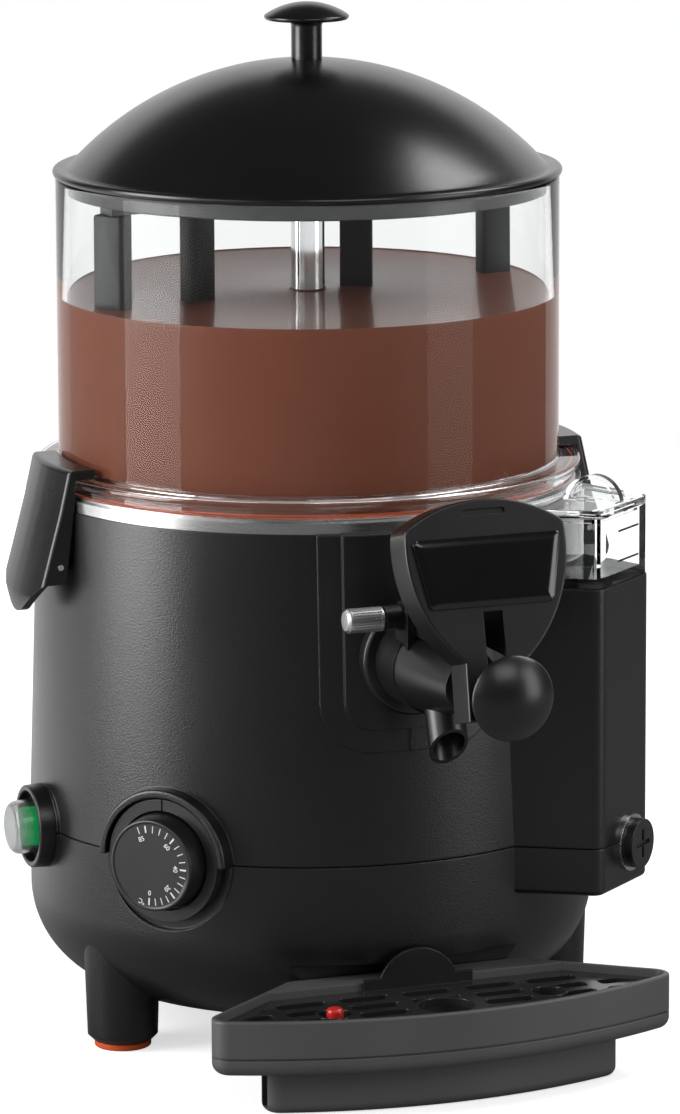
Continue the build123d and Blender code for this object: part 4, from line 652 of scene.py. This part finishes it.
def spun(run, steps, sharp):
    """Piece turned about Z from radii and heights, smooth but for edges over a sharp angle."""
    deselect()
    bpy.ops.mesh.primitive_plane_add(size=MM)
    piece = bpy.context.active_object
    edit(piece)
    bpy.ops.mesh.merge(type="CENTER")
    bpy.ops.transform.translate(value=(run[0][0], 0.0, run[0][1]))
    for (r0, z0), (r1, z1) in zip(run, run[1:]):
        bpy.ops.mesh.extrude_vertices_move(TRANSFORM_OT_translate={"value": (r1 - r0, 0.0, z1 - z0)})
    bpy.ops.mesh.select_all(action="SELECT")
    bpy.ops.mesh.remove_doubles(threshold=1e-7)
    bpy.ops.mesh.spin(steps=steps, angle=2 * pi, center=(0.0, 0.0, 0.0), axis=(0.0, 0.0, 1.0))
    bpy.ops.mesh.select_all(action="SELECT")
    bpy.ops.mesh.remove_doubles(threshold=2e-6)
    bpy.ops.mesh.normals_make_consistent(inside=False)
    for (r0, z0), (r1, z1) in ((run[0], run[1]), (run[-1], run[-2])):
        if r0 == 0.0 and z0 == z1:
            select_where(
                piece, "FACE", lambda face: abs(face.center.z - z0) < 1e-6 and face.center.xy.length < r1
            )
            bpy.ops.mesh.dissolve_faces()
    close_edit()
    smooth(piece, sharp)
    return piece


def bar(size, bevel, segments=2):
    """Bar with rounded edges, centred at the origin."""
    deselect()
    bpy.ops.mesh.primitive_cube_add(size=1.0)
    piece = bpy.context.active_object
    edit(piece)
    bpy.ops.transform.resize(value=size)
    bpy.ops.mesh.bevel(offset=bevel, segments=segments)
    close_edit()
    smooth(piece)
    return piece


def traced(node):
    """Copy of a CAD node with its loose triangles merged into whole faces."""
    piece = copy(frame["nodes"][node])
    for key in [key for key in piece.keys() if key.startswith("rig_")]:
        del piece[key]
    piece.parent = None
    bpy.ops.mesh.customdata_custom_splitnormals_clear()
    edit(piece)
    bpy.ops.mesh.remove_doubles(threshold=2e-6)
    bpy.ops.mesh.dissolve_limited(angle_limit=radians(1.0))
    close_edit()
    return piece


class FinishNodes(bpy.types.Operator):
    """Gives every CAD node its procedural material"""

    bl_idname = "dispenser.finish_nodes"
    bl_label = "Finish the CAD nodes"

    def execute(self, context):
        slots = {part["node"]: part["material_slot"] for part in frame["record"]["subparts"]}
        for name, node in frame["nodes"].items():
            node.data.materials.clear()
            node.data.materials.append(finish(slots[name]))
        return {"FINISHED"}


class ModelLid(bpy.types.Operator):
    """Models the domed lid and its mushroom knob"""

    bl_idname = "dispenser.model_lid"
    bl_label = "Lid and knob"

    def execute(self, context):
        size = settings().lid
        low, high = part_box("lid")
        rim = high.x
        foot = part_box("bowl")[1].z + 0.4 * MM
        top = foot + size.lip_height
        edge = rim - size.shoulder
        centre = top - sqrt(size.dome_radius**2 - edge**2)
        inner = size.dome_radius - size.wall
        skirt = rim - size.skirt_gap
        inner_edge = edge * inner / size.dome_radius
        half = size.lip_height / 2
        rim_run = outline(
            (edge, top),
            (edge + 1.2 * MM, top - 0.9 * MM, 1.0 * MM),
            (rim, top - 0.6 * MM, half * 0.8),
            (rim, foot, half * 0.8),
            (skirt, foot, 0.5 * MM),
            (skirt, low.z, 0.8 * MM),
            (skirt - size.skirt_wall, low.z, 0.8 * MM),
            (inner_edge, centre + sqrt(inner**2 - inner_edge**2)),
        )
        run = dome(size.dome_radius, centre, 0.0, edge, 40)[:-1] + rim_run[:-1]
        run += dome(inner, centre, inner_edge, 0.0)
        dress(spun(run, 160, 60.0), "domed_lid", "lid", "lid_plastic", "lid")
        self.knob(size, centre + sqrt(size.dome_radius**2 - size.stem_radius**2))
        return {"FINISHED"}

    def knob(self, size, seat):
        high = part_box("lid_knob")[1]
        radius = high.x
        rim = high.z - size.knob_rise
        curve = (radius**2 + size.knob_rise**2) / (2 * size.knob_rise)
        cap = dome(curve, high.z - curve, 0.0, radius - 0.8 * MM, 20)
        under = outline(
            cap[-1],
            (radius, rim - 0.2 * MM, 0.9 * MM),
            (radius - 0.9 * MM, rim - 1.6 * MM, 0.8 * MM),
            (size.stem_radius, rim - 2.0 * MM, 2.6 * MM),
            (size.stem_radius, seat + 0.2 * MM),
            (size.stem_radius, seat - 0.3 * MM),
            (0.0, seat - 0.3 * MM),
        )
        dress(spun(cap[:-1] + under, 96, 50.0), "mushroom_knob", "lid", "lid_plastic", "lid_knob")


class ModelBowl(bpy.types.Operator):
    """Models the clear bowl with its stepped flange, and the two orange seals"""

    bl_idname = "dispenser.model_bowl"
    bl_label = "Bowl and seals"

    def execute(self, context):
        size = settings().bowl
        low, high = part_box("bowl")
        flange = high.x
        outer = flange - size.flange_width
        bore = outer - size.wall
        step = low.z + size.flange_height / 2
        run = outline(
            (bore, low.z, 0.3 * MM),
            (flange - size.flange_step, low.z, 0.5 * MM),
            (flange - size.flange_step, step, 0.4 * MM),
            (flange, step, size.edge),
            (flange, low.z + size.flange_height, size.edge),
            (outer, low.z + size.flange_height, 1.6 * MM),
            (outer, high.z, size.edge),
            (bore, high.z, size.edge),
            closed=True,
        )
        dress(spun(run, 192, 70.0), "clear_bowl", "base", "clear_plastic", "bowl", look="bowl_plastic")
        self.seal("flange_seal", "flange_seal_ring", 0.2 * MM, 1.0 * MM, 0.6 * MM)
        self.seal("pot_seal", "pot_seal_ring", 2.0 * MM, 1.2 * MM, 0.6 * MM)
        return {"FINISHED"}

    def seal(self, node, name, inset, width, height):
        low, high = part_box(node)
        outer = high.x - inset
        round_edge = 0.4 * height
        run = outline(
            (outer - width, low.z, round_edge),
            (outer, low.z, round_edge),
            (outer, low.z + height, round_edge),
            (outer - width, low.z + height, round_edge),
            closed=True,
        )
        # The seals take the darkened copy of the orange silicone, a painted shade.
        dress(spun(run, 160, 70.0), name, "base", "orange_silicone", node, look="seal_silicone")


class ModelChocolate(bpy.types.Operator):
    """Models the hot chocolate with the raised edge of its surface"""

    bl_idname = "dispenser.model_chocolate"
    bl_label = "Hot chocolate"

    def execute(self, context):
        size = settings().bowl
        low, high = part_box("hot_chocolate")
        wall = high.x + 0.5 * MM
        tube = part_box("centre_tube")[1].x + 0.3 * MM
        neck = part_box("pot_seal")[1].x - 3.9 * MM
        seal_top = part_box("pot_seal")[1].z + 0.3 * MM
        level = high.z - size.meniscus
        run = outline(
            (tube, low.z),
            (neck, low.z, 4.0 * MM),
            (neck, seal_top),
            (wall, seal_top, 0.5 * MM),
            (wall, high.z),
            (wall - 0.5 * MM, high.z - 0.55 * size.meniscus),
            (wall - 2.0 * MM, level),
            (tube + 1.8 * MM, level),
            (tube + 0.5 * MM, high.z - 0.55 * size.meniscus),
            (tube, high.z),
            closed=True,
        )
        dress(spun(run, 192, 40.0), "hot_chocolate_fill", "mixer", "chocolate", "hot_chocolate")
        return {"FINISHED"}


class ModelBlades(bpy.types.Operator):
    """Models one mixer blade and copies it to the four places"""

    bl_idname = "dispenser.model_blades"
    bl_label = "Mixer blades"

    # Each blade's place along the arm in millimetres and its twist in degrees.
    places = ((-94.0, 62.5), (-54.0, -22.5), (24.0, 27.5), (94.0, 1.5))
    arm_turn = radians(6.7)

    def execute(self, context):
        size = settings().bowl
        low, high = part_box("mixer_blades")
        first = bar((size.blade_width, size.blade_thick, high.z - low.z), 1.1 * MM, 3)
        along = Vector((cos(self.arm_turn), sin(self.arm_turn), 0.0))
        places = []
        for radius, twist in self.places:
            spot = along * radius * MM
            spot.z = (low.z + high.z) / 2
            places.append(Matrix.Translation(spot) @ Matrix.Rotation(self.arm_turn - radians(twist), 4, "Z"))
        blades = repeated(first, places)
        # The blades take the darker copy of the housing's black, a painted shade.
        dress(blades, "mixer_blade_set", "mixer", "black_plastic", "mixer_blades", look="shaded_blade_plastic")
        return {"FINISHED"}


class ModelLatches(bpy.types.Operator):
    """Rounds the edges of the two latches"""

    bl_idname = "dispenser.model_latches"
    bl_label = "Latches"

    face_radius = 120.5 * MM
    face_slope = 0.2
    face_height = 48.0 * MM
    crown_round = 3.6 * MM

    def execute(self, context):
        for side in ("right", "left"):
            latch = traced(f"latch_{side}")
            self.crown(latch)
            soften(latch, 0.6 * MM)
            dress(latch, f"soft_latch_{side}", f"latch_{side}", "latch_plastic", f"latch_{side}")
        return {"FINISHED"}

    def crown(self, latch):
        """Rounds the edges round a latch's outer face."""
        spots = [vertex.co.copy() for vertex in latch.data.vertices]
        top = max(spot.z for spot in spots)
        sides = {}
        for polygon in latch.data.polygons:
            for key in polygon.edge_keys:
                sides.setdefault(key, []).append(polygon.normal.copy())

        def on_rim(edge):
            spot = (spots[edge.vertices[0]] + spots[edge.vertices[1]]) / 2
            out = Vector((spot.x, spot.y, 0.0)).normalized()
            first, second = sides[edge.key]
            outer = spot.xy.length > self.face_radius + (top - spot.z) * self.face_slope
            rim = max(first.dot(out), second.dot(out)) > 0.75 and first.angle(second) > radians(45.0)
            return outer and rim and spot.z > top - self.face_height

        edit(latch)
        select_where(latch, "EDGE", on_rim)
        bpy.ops.mesh.bevel(offset=self.crown_round, segments=6, clamp_overlap=True)
        close_edit()


class ModelTap(bpy.types.Operator):
    """Models the lever's domed knob, the knurled thumb screw and the flange"""

    bl_idname = "dispenser.model_tap"
    bl_label = "Tap"

    def execute(self, context):
        size = settings().tap
        self.knob(size)
        self.screw(size)
        self.flange(size)
        return {"FINISHED"}

    def flange(self, size):
        """Rounds the rim of the flange that clamps the tap to the panel."""
        flange = traced("tap_flange")
        low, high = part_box("tap_flange")
        centre = middle("tap_flange")
        rim_back = low.y + 1.3 * MM
        spots = [vertex.co.copy() for vertex in flange.data.vertices]

        def on_rim(edge):
            ends = [spots[i] for i in edge.vertices]
            return all((end - centre).xz.length > 0.9 * high.x and end.y < rim_back for end in ends)

        edit(flange)
        select_where(flange, "EDGE", on_rim)
        bpy.ops.mesh.bevel(offset=size.flange_round, segments=5, clamp_overlap=True)
        close_edit()
        smooth(flange, 45.0)
        dress(flange, "round_tap_flange", "base", "tap_plastic", "tap_flange")

    def knob(self, size):
        low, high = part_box("lever_knob")
        radius = (high.x - low.x) / 2
        stem = 7.0 * MM
        curve = (radius**2 + size.knob_dome**2) / (2 * size.knob_dome)
        cap = dome(curve, size.knob_dome - curve, 0.0, radius - 1.0 * MM, 20)
        back = high.y - low.y - size.knob_dome
        run = cap[:-1] + outline(
            cap[-1],
            (radius, -0.2 * MM, 1.0 * MM),
            (radius - 1.6 * MM, -1.9 * MM, 0.9 * MM),
            (stem, -2.4 * MM, 1.4 * MM),
            (stem, -back, 0.6 * MM),
            (0.0, -back),
        )
        place = facing(0.0, Vector((0.0, low.y + size.knob_dome, middle("lever_knob").z)))
        knob = settle(spun(run, 96, 50.0), place)
        dress(knob, "domed_lever_knob", "tap_lever", "tap_plastic", "lever_knob")

    def screw(self, size):
        low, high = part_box("thumb_screw")
        radius = (high.z - low.z) / 2
        head = 16.6 * MM
        shank = 3.0 * MM
        end = low.x - high.x
        grip_back = -head + 1.4 * MM
        grip_front = -2.2 * MM
        sides = 2 * size.knurls
        run = outline(
            (0.0, 0.0),
            (radius - 1.2 * MM, 0.0, 0.3 * MM),
            (radius, -1.2 * MM, 0.4 * MM),
            (radius, grip_front),
            (radius, grip_back),
            (radius, -head + 0.4 * MM, 0.3 * MM),
            (shank, -head, 0.2 * MM),
            (shank, end + 0.6 * MM, 0.4 * MM),
            (shank - 0.6 * MM, end),
            (0.0, end),
        )

        def in_groove(polygon):
            spot = polygon.center
            side = int(atan2(spot.y, spot.x) / (2 * pi) * sides % sides)
            return grip_back < spot.z < grip_front and spot.xy.length > radius * 0.9 and side % 2 == 0

        screw = spun(run, sides, 30.0)
        edit(screw)
        select_where(screw, "FACE", in_groove)
        bpy.ops.mesh.inset(thickness=0.05 * MM, depth=-size.knurl_depth, use_individual=True)
        close_edit()
        smooth(screw, 25.0)
        centre = middle("thumb_screw")
        settle(screw, facing(-pi / 2, Vector((low.x, centre.y, centre.z))))
        dress(screw, "knurled_thumb_screw", "thumb_screw", "steel", "thumb_screw", look="knurled_steel")


class ModelShield(bpy.types.Operator):
    """Rounds the edges of the tap's shield and of its bare plate"""

    bl_idname = "dispenser.model_shield"
    bl_label = "Tap shield"

    # The dome's height, then the inset and rise of each step in millimetres.
    dome_height = 0.62 * MM
    dome_steps = ((0.9, 0.30), (0.9, 0.18), (1.0, 0.10), (1.2, 0.04))

    def execute(self, context):
        shield = traced("shield")
        soften(shield, 0.5 * MM, 50.0)
        dress(shield, "soft_shield", "base", "tap_plastic", "shield")
        plate = traced("shield_plate")
        self.dome(plate)
        dress(plate, "bare_plate", "base", "plate_plastic", "shield_plate")
        return {"FINISHED"}

    def dome(self, plate):
        """Rounds the plate's face down to its edge, like poured resin."""
        face = max(plate.data.polygons, key=lambda polygon: polygon.area * -polygon.normal.y)
        out = face.normal.copy()
        spot = face.center.copy()
        low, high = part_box("shield_plate")
        half = (high - low) / 2
        edit(plate)
        select_where(plate, "FACE", lambda polygon: (polygon.center - spot).length < 1e-6)
        bpy.ops.transform.translate(value=out * -self.dome_height)
        for width, rise in self.dome_steps:
            bpy.ops.mesh.extrude_region_move(TRANSFORM_OT_translate={"value": out * rise * MM})
            shrink = (1.0 - width * MM / half.x, 1.0 - width * MM / half.z, 1.0 - width * MM / half.z)
            bpy.ops.transform.resize(value=shrink, center_override=spot)
        close_edit()
        smooth(plate, 32.0)


class ModelDial(bpy.types.Operator):
    """Models the thermostat dial with its printed scale"""

    bl_idname = "dispenser.model_dial"
    bl_label = "Thermostat dial"

    numbers = (0, 20, 40, 60, 85)
    scale_start = -94.0
    scale_step = 2.25
    scale_stretch = 0.0021
    sign_angle = radians(-106.5)
    sign_radius = 0.0168
    font_ratio = 1.35
    stroke = 0.00004

    def execute(self, context):
        size = settings().dial
        out = outwards(DIAL_ANGLE)
        foot, face = reach("dial", out)
        low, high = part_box("dial")
        height = Vector((0.0, 0.0, (low.z + high.z) / 2))
        radius = (high.z - low.z) / 2
        recess = 0.35 * MM
        rise = face - foot
        run = outline(
            (0.0, rise - recess),
            (radius - 3.2 * MM, rise - recess),
            (radius - 2.7 * MM, rise, 0.2 * MM),
            (radius - 1.6 * MM, rise, 0.7 * MM),
            (radius, 0.0, 0.3 * MM),
            (0.0, 0.0),
        )
        dial = settle(spun(run, 128, 35.0), facing(DIAL_ANGLE, out * foot + height))
        dress(dial, "thermostat_dial", "dial", "dial_plastic", "dial")
        self.scale(size, facing(DIAL_ANGLE, out * (face - recess) + height))
        return {"FINISHED"}

    def tick_angle(self, value):
        """Angle of a temperature on the scale, from the dial's right towards its top."""
        return radians(self.scale_start + self.scale_step * value + self.scale_stretch * value**2)

    def printed_at(self, size, place, angle, radius):
        """Place of a mark on the dial's face, upright towards the dial's edge."""
        turn = Matrix.Rotation(angle - pi / 2, 4, "Z")
        return place @ turn @ Matrix.Translation((0.0, radius, size.print_height / 2))

    def scale(self, size, place):
        reach_out = size.tick_outer - size.tick_inner
        thin = bar((size.tick_width, reach_out, size.print_height), 0.01 * MM, 1)
        bold = bar((size.bold_width, reach_out, size.print_height), 0.01 * MM, 1)
        marks = []
        centre = (size.tick_inner + size.tick_outer) / 2
        for value in range(0, 90, 5):
            tick = copy(bold if value % 20 == 0 else thin)
            marks.append(settle(tick, self.printed_at(size, place, self.tick_angle(value), centre)))
        for value in self.numbers:
            marks.append(self.figure(size, place, str(value), self.tick_angle(value), size.number_radius))
        marks.append(self.figure(size, place, "°C", self.sign_angle, self.sign_radius))
        pick(thin, bold)
        bpy.ops.object.delete()
        dress(join(marks), "dial_scale", "dial", "white_plastic", look="white_print")

    def figure(self, size, place, text, angle, radius):
        """One printed number or sign."""
        deselect()
        bpy.ops.object.text_add()
        word = bpy.context.active_object
        word.data.body = text
        word.data.size = size.number_height * self.font_ratio
        word.data.align_x = "CENTER"
        word.data.align_y = "CENTER"
        word.data.extrude = size.print_height / 2
        word.data.offset = self.stroke
        bpy.ops.object.convert(target="MESH")
        return settle(bpy.context.active_object, self.printed_at(size, place, angle, radius))


class ModelSwitch(bpy.types.Operator):
    """Models the switch's clear boot and its collar"""

    bl_idname = "dispenser.model_switch"
    bl_label = "Power switch"

    def execute(self, context):
        radius, rise, place = self.seat("switch_boot")
        bore = radius + 0.05 * MM
        wall = 1.2 * MM
        run = outline(
            (0.0, rise),
            (radius - 0.6 * MM, rise, 3.2 * MM),
            (radius, rise / 2, 4.0 * MM),
            (radius, 0.0, 0.2 * MM),
            (radius - wall, 0.0, 0.2 * MM),
            (radius - wall, rise / 2, 3.0 * MM),
            (radius - wall - 0.6 * MM, rise - wall, 2.2 * MM),
            (0.0, rise - wall),
        )
        dress(settle(spun(run, 96, 60.0), place), "clear_boot", "base", "clear_rubber", "switch_boot")
        radius, rise, place = self.seat("switch_collar")
        shelf = 2.2 * MM
        run = outline(
            (bore, 0.0),
            (radius, 0.0, 0.3 * MM),
            (radius - 0.3 * MM, rise - 0.4 * MM, 0.8 * MM),
            (radius - 0.8 * MM, rise, 0.4 * MM),
            (radius - 2.8 * MM, rise, 0.5 * MM),
            (radius - 2.8 * MM, shelf, 0.4 * MM),
            (bore, shelf),
            closed=True,
        )
        dress(settle(spun(run, 96, 40.0), place), "switch_cup", "base", "black_plastic", "switch_collar")
        return {"FINISHED"}

    def seat(self, node):
        """Radius, rise and place of a piece of the switch."""
        low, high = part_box(node)
        place = facing(SWITCH_ANGLE, Vector((high.x, 0.0, (low.z + high.z) / 2)))
        return (high.z - low.z) / 2, high.x - low.x, place


class ModelTank(bpy.types.Operator):
    """Models the level lines on the filler tank"""

    bl_idname = "dispenser.model_tank"
    bl_label = "Filler tank"

    levels = (217.0 * MM, 230.0 * MM)
    line = (19.4 * MM, 0.9 * MM, 0.2 * MM)
    line_shift = 3.1 * MM

    def execute(self, context):
        out = outwards(COLUMN_ANGLE)
        face = reach("filler_tank", out)[1] + 0.02 * MM
        shift = Matrix.Translation((self.line_shift, 0.0, 0.0))
        places = [facing(COLUMN_ANGLE, out * face + UP * level) @ shift for level in self.levels]
        dress(repeated(bar(self.line, 0.06 * MM), places), "tank_level_lines", "base", "black_rubber")
        return {"FINISHED"}


class ModelTray(bpy.types.Operator):
    """Rounds the drip grid's edges and models the level float"""

    bl_idname = "dispenser.model_tray"
    bl_label = "Grid and float"

    def execute(self, context):
        grid = traced("drip_grid")
        soften(grid, 0.45 * MM)
        dress(grid, "soft_grid", "grid", "grid_plastic", "drip_grid")
        low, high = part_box("level_float")
        centre = middle("level_float")
        cap = 3.6 * MM
        cap_foot = high.z - 4.6 * MM
        stem = 2.4 * MM
        buoy = (high.x - low.x) / 2
        buoy_top = low.z + 9.0 * MM
        run = outline(
            (0.0, high.z),
            (cap, high.z, 1.6 * MM),
            (cap, cap_foot, 0.5 * MM),
            (stem, cap_foot, 0.3 * MM),
            (stem, buoy_top, 0.5 * MM),
            (buoy, buoy_top, 1.2 * MM),
            (buoy, low.z, 1.2 * MM),
            (0.0, low.z),
        )
        place = Matrix.Translation((centre.x, centre.y, 0.0))
        dress(settle(spun(run, 48, 50.0), place), "red_float", "float", "red_plastic", "level_float")
        return {"FINISHED"}


class ModelPads(bpy.types.Operator):
    """Models one rounded foot pad and copies it under the four legs"""

    bl_idname = "dispenser.model_pads"
    bl_label = "Foot pads"

    def execute(self, context):
        low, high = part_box("foot_pads")
        radius = 12.4 * MM
        circle = max(vertex.co.xy.length for vertex in frame["nodes"]["foot_pads"].data.vertices) - radius
        run = outline(
            (0.0, high.z),
            (radius, high.z, 0.4 * MM),
            (radius, low.z, 0.9 * MM),
            (0.0, low.z),
        )
        places = [Matrix.Translation(outwards(angle) * circle) for angle in PAD_ANGLES]
        dress(repeated(spun(run, 64, 50.0), places), "rounded_pads", "base", "orange_silicone", "foot_pads")
        return {"FINISHED"}


class SetStage(bpy.types.Operator):
    """Sets the floor, the backdrop, the soft light and the camera"""

    bl_idname = "dispenser.set_stage"
    bl_label = "Stage"

    aim = Vector((0.01258, -0.00483, 0.2035))
    eye = Vector((-0.9021, -2.3879, 0.7043))
    roll = radians(-0.26)
    lens = 190.2
    # Brightness of the room, and what each kind of ray sees in its place.
    room = 0.20
    skies = (("Is Glossy Ray", 0.07), ("Is Transmission Ray", 0.55), ("Is Camera Ray", 1.0))
    # Each lamp's setting, its size, and its place to the camera's right, towards the camera and up.
    lamps = (
        ("key", (0.75, 1.3), (-1.3, 0.40, 0.42)),
        ("fill", (0.55, 0.75), (0.95, -0.25, 1.35)),
        ("left", (0.8, 0.8), (-1.0, 1.25, 0.75)),
        ("side", (0.6, 1.2), (1.25, 0.58, 0.45)),
        ("front", (1.6, 1.0), (0.75, 1.9, 1.9)),
    )

    def execute(self, context):
        scene = context.scene
        scene.view_settings.view_transform = "Standard"
        self.floor()
        self.backdrop()
        self.world(scene)
        for name, size, offset in self.lamps:
            self.lamp(f"{name}_box", getattr(settings().stage, name), size, offset)
        self.camera(scene)
        return {"FINISHED"}

    def side(self):
        """Level directions to the camera's right and towards the camera."""
        toward = self.eye - self.aim
        toward.z = 0.0
        toward.normalize()
        return UP.cross(toward), toward

    def sheet(self, name, width, depth):
        """Level sheet and its shader."""
        deselect()
        bpy.ops.mesh.primitive_plane_add(size=1.0)
        sheet = bpy.context.active_object
        edit(sheet)
        bpy.ops.transform.resize(value=(width, depth, 1.0))
        bpy.ops.mesh.subdivide(number_cuts=2)
        close_edit()
        sheet.name = name
        return sheet, new_shader(name)

    def floor(self):
        floor, shader = self.sheet("pale_floor", 14.0, 14.0)
        stage = settings().stage
        cloud = shader.noise(3.0, 3.0)
        matt = {"Roughness": 0.9, "Specular IOR Level": 0.0}
        pale = shader.principled({
            **matt,
            "Base Color": shader.blend(cloud, scaled(stage.floor, 0.99), stage.floor),
            "Emission Color": WHITE,
            "Emission Strength": stage.floor_lift,
        })
        dim = shader.principled({
            **matt,
            "Base Color": shader.blend(cloud, (0.26, 0.26, 0.26), (0.28, 0.28, 0.28)),
        })
        dot = {"operation": "DOT_PRODUCT"}
        beside, ahead = (
            shader.add("ShaderNodeVectorMath", dot, {0: shader.place(), 1: tuple(way)}, "Value")
            for way in self.side()
        )
        card = shader.ramp(beside * -1.0, (0.10, 0.0), (0.30, 1.0))
        card = card * shader.ramp(0.5 - ahead, (0.35, 0.0), (0.65, 0.8))
        seen = shader.ray("Is Camera Ray") + shader.ray("Is Transmission Ray")
        mixed = shader.mix(seen, shader.mix(card, dim, pale), pale)
        floor.data.materials.append(shader.surface(mixed))

    def backdrop(self):
        sheet, shader = self.sheet("white_backdrop", 2.5, 1.2)
        right, toward = self.side()
        spot = self.aim - toward * 1.3
        turn = Matrix((right, UP, toward)).transposed().to_4x4()
        settle(sheet, Matrix.Translation((spot.x, spot.y, 0.62)) @ turn)
        glow = shader.add("ShaderNodeEmission", sockets={"Color": WHITE, "Strength": 1.0})
        sheet.data.materials.append(shader.surface(glow))

    def sky(self, shader, strength):
        """White light of one strength from all sides."""
        return shader.add("ShaderNodeBackground", sockets={"Color": WHITE, "Strength": strength})

    def world(self, scene):
        if scene.world is None:
            scene.world = bpy.data.worlds.new("studio")
        shader = Shader(scene.world)
        light = self.sky(shader, self.room)
        for ray, strength in self.skies:
            light = shader.mix(shader.ray(ray), light, self.sky(shader, strength))
        shader.add("ShaderNodeOutputWorld", sockets={"Surface": light})

    def lamp(self, name, watts, size, offset):
        right, toward = self.side()
        spot = self.aim + right * offset[0] + toward * offset[1]
        spot.z = offset[2]
        deselect()
        bpy.ops.object.light_add(type="AREA", location=spot)
        lamp = bpy.context.active_object
        lamp.name = name
        lamp.data.shape = "RECTANGLE"
        lamp.data.size, lamp.data.size_y = size
        lamp.data.energy = watts
        lamp.rotation_euler = (self.aim - spot).to_track_quat("-Z", "Y").to_euler()

    def camera(self, scene):
        deselect()
        bpy.ops.object.camera_add(location=self.eye)
        camera = bpy.context.active_object
        camera.name = "photo_camera"
        turn = (self.aim - self.eye).to_track_quat("-Z", "Y").to_matrix()
        camera.rotation_euler = (turn @ Matrix.Rotation(self.roll, 3, "Z")).to_euler()
        camera.data.sensor_fit = "VERTICAL"
        camera.data.sensor_height = 36.0
        camera.data.lens = self.lens
        camera.data.clip_end = 50.0
        scene.camera = camera


STEPS = (
    FinishNodes, ModelLid, ModelBowl, ModelChocolate, ModelBlades, ModelLatches, ModelTap, ModelShield,
    ModelDial, ModelSwitch, ModelTank, ModelTray, ModelPads, SetStage,
)


class DispenserPanel(bpy.types.Panel):
    """Lists the pieces of the dispenser"""

    bl_idname = "VIEW3D_PT_dispenser"
    bl_label = "Hot chocolate dispenser"
    bl_space_type = "VIEW_3D"
    bl_region_type = "UI"
    bl_category = "Dispenser"

    def draw(self, context):
        for step in STEPS:
            self.layout.operator(step.bl_idname)
        for group in ("finish", "lid", "bowl", "tap", "dial", "stage"):
            box = self.layout.box()
            box.label(text=group.title())
            values = getattr(context.scene.dispenser, group)
            for name in values.bl_rna.properties.keys():
                if name not in ("rna_type", "name"):
                    box.prop(values, name)


GROUPS = (
    FinishSettings, LidSettings, BowlSettings, TapSettings, DialSettings, StageSettings, DispenserSettings,
)


def register():
    """Registers the settings, the operators and the panel."""
    for kind in (*GROUPS, *STEPS, DispenserPanel):
        bpy.utils.register_class(kind)
    bpy.types.Scene.dispenser = PointerProperty(type=DispenserSettings)


def unregister():
    """Takes the settings, the operators and the panel away again."""
    del bpy.types.Scene.dispenser
    for kind in reversed((*GROUPS, *STEPS, DispenserPanel)):
        bpy.utils.unregister_class(kind)


def main():
    """Models every piece in order."""
    register()
    for step in STEPS:
        group, name = step.bl_idname.split(".")
        getattr(getattr(bpy.ops, group), name)()


if __name__ == "__main__":
    main()
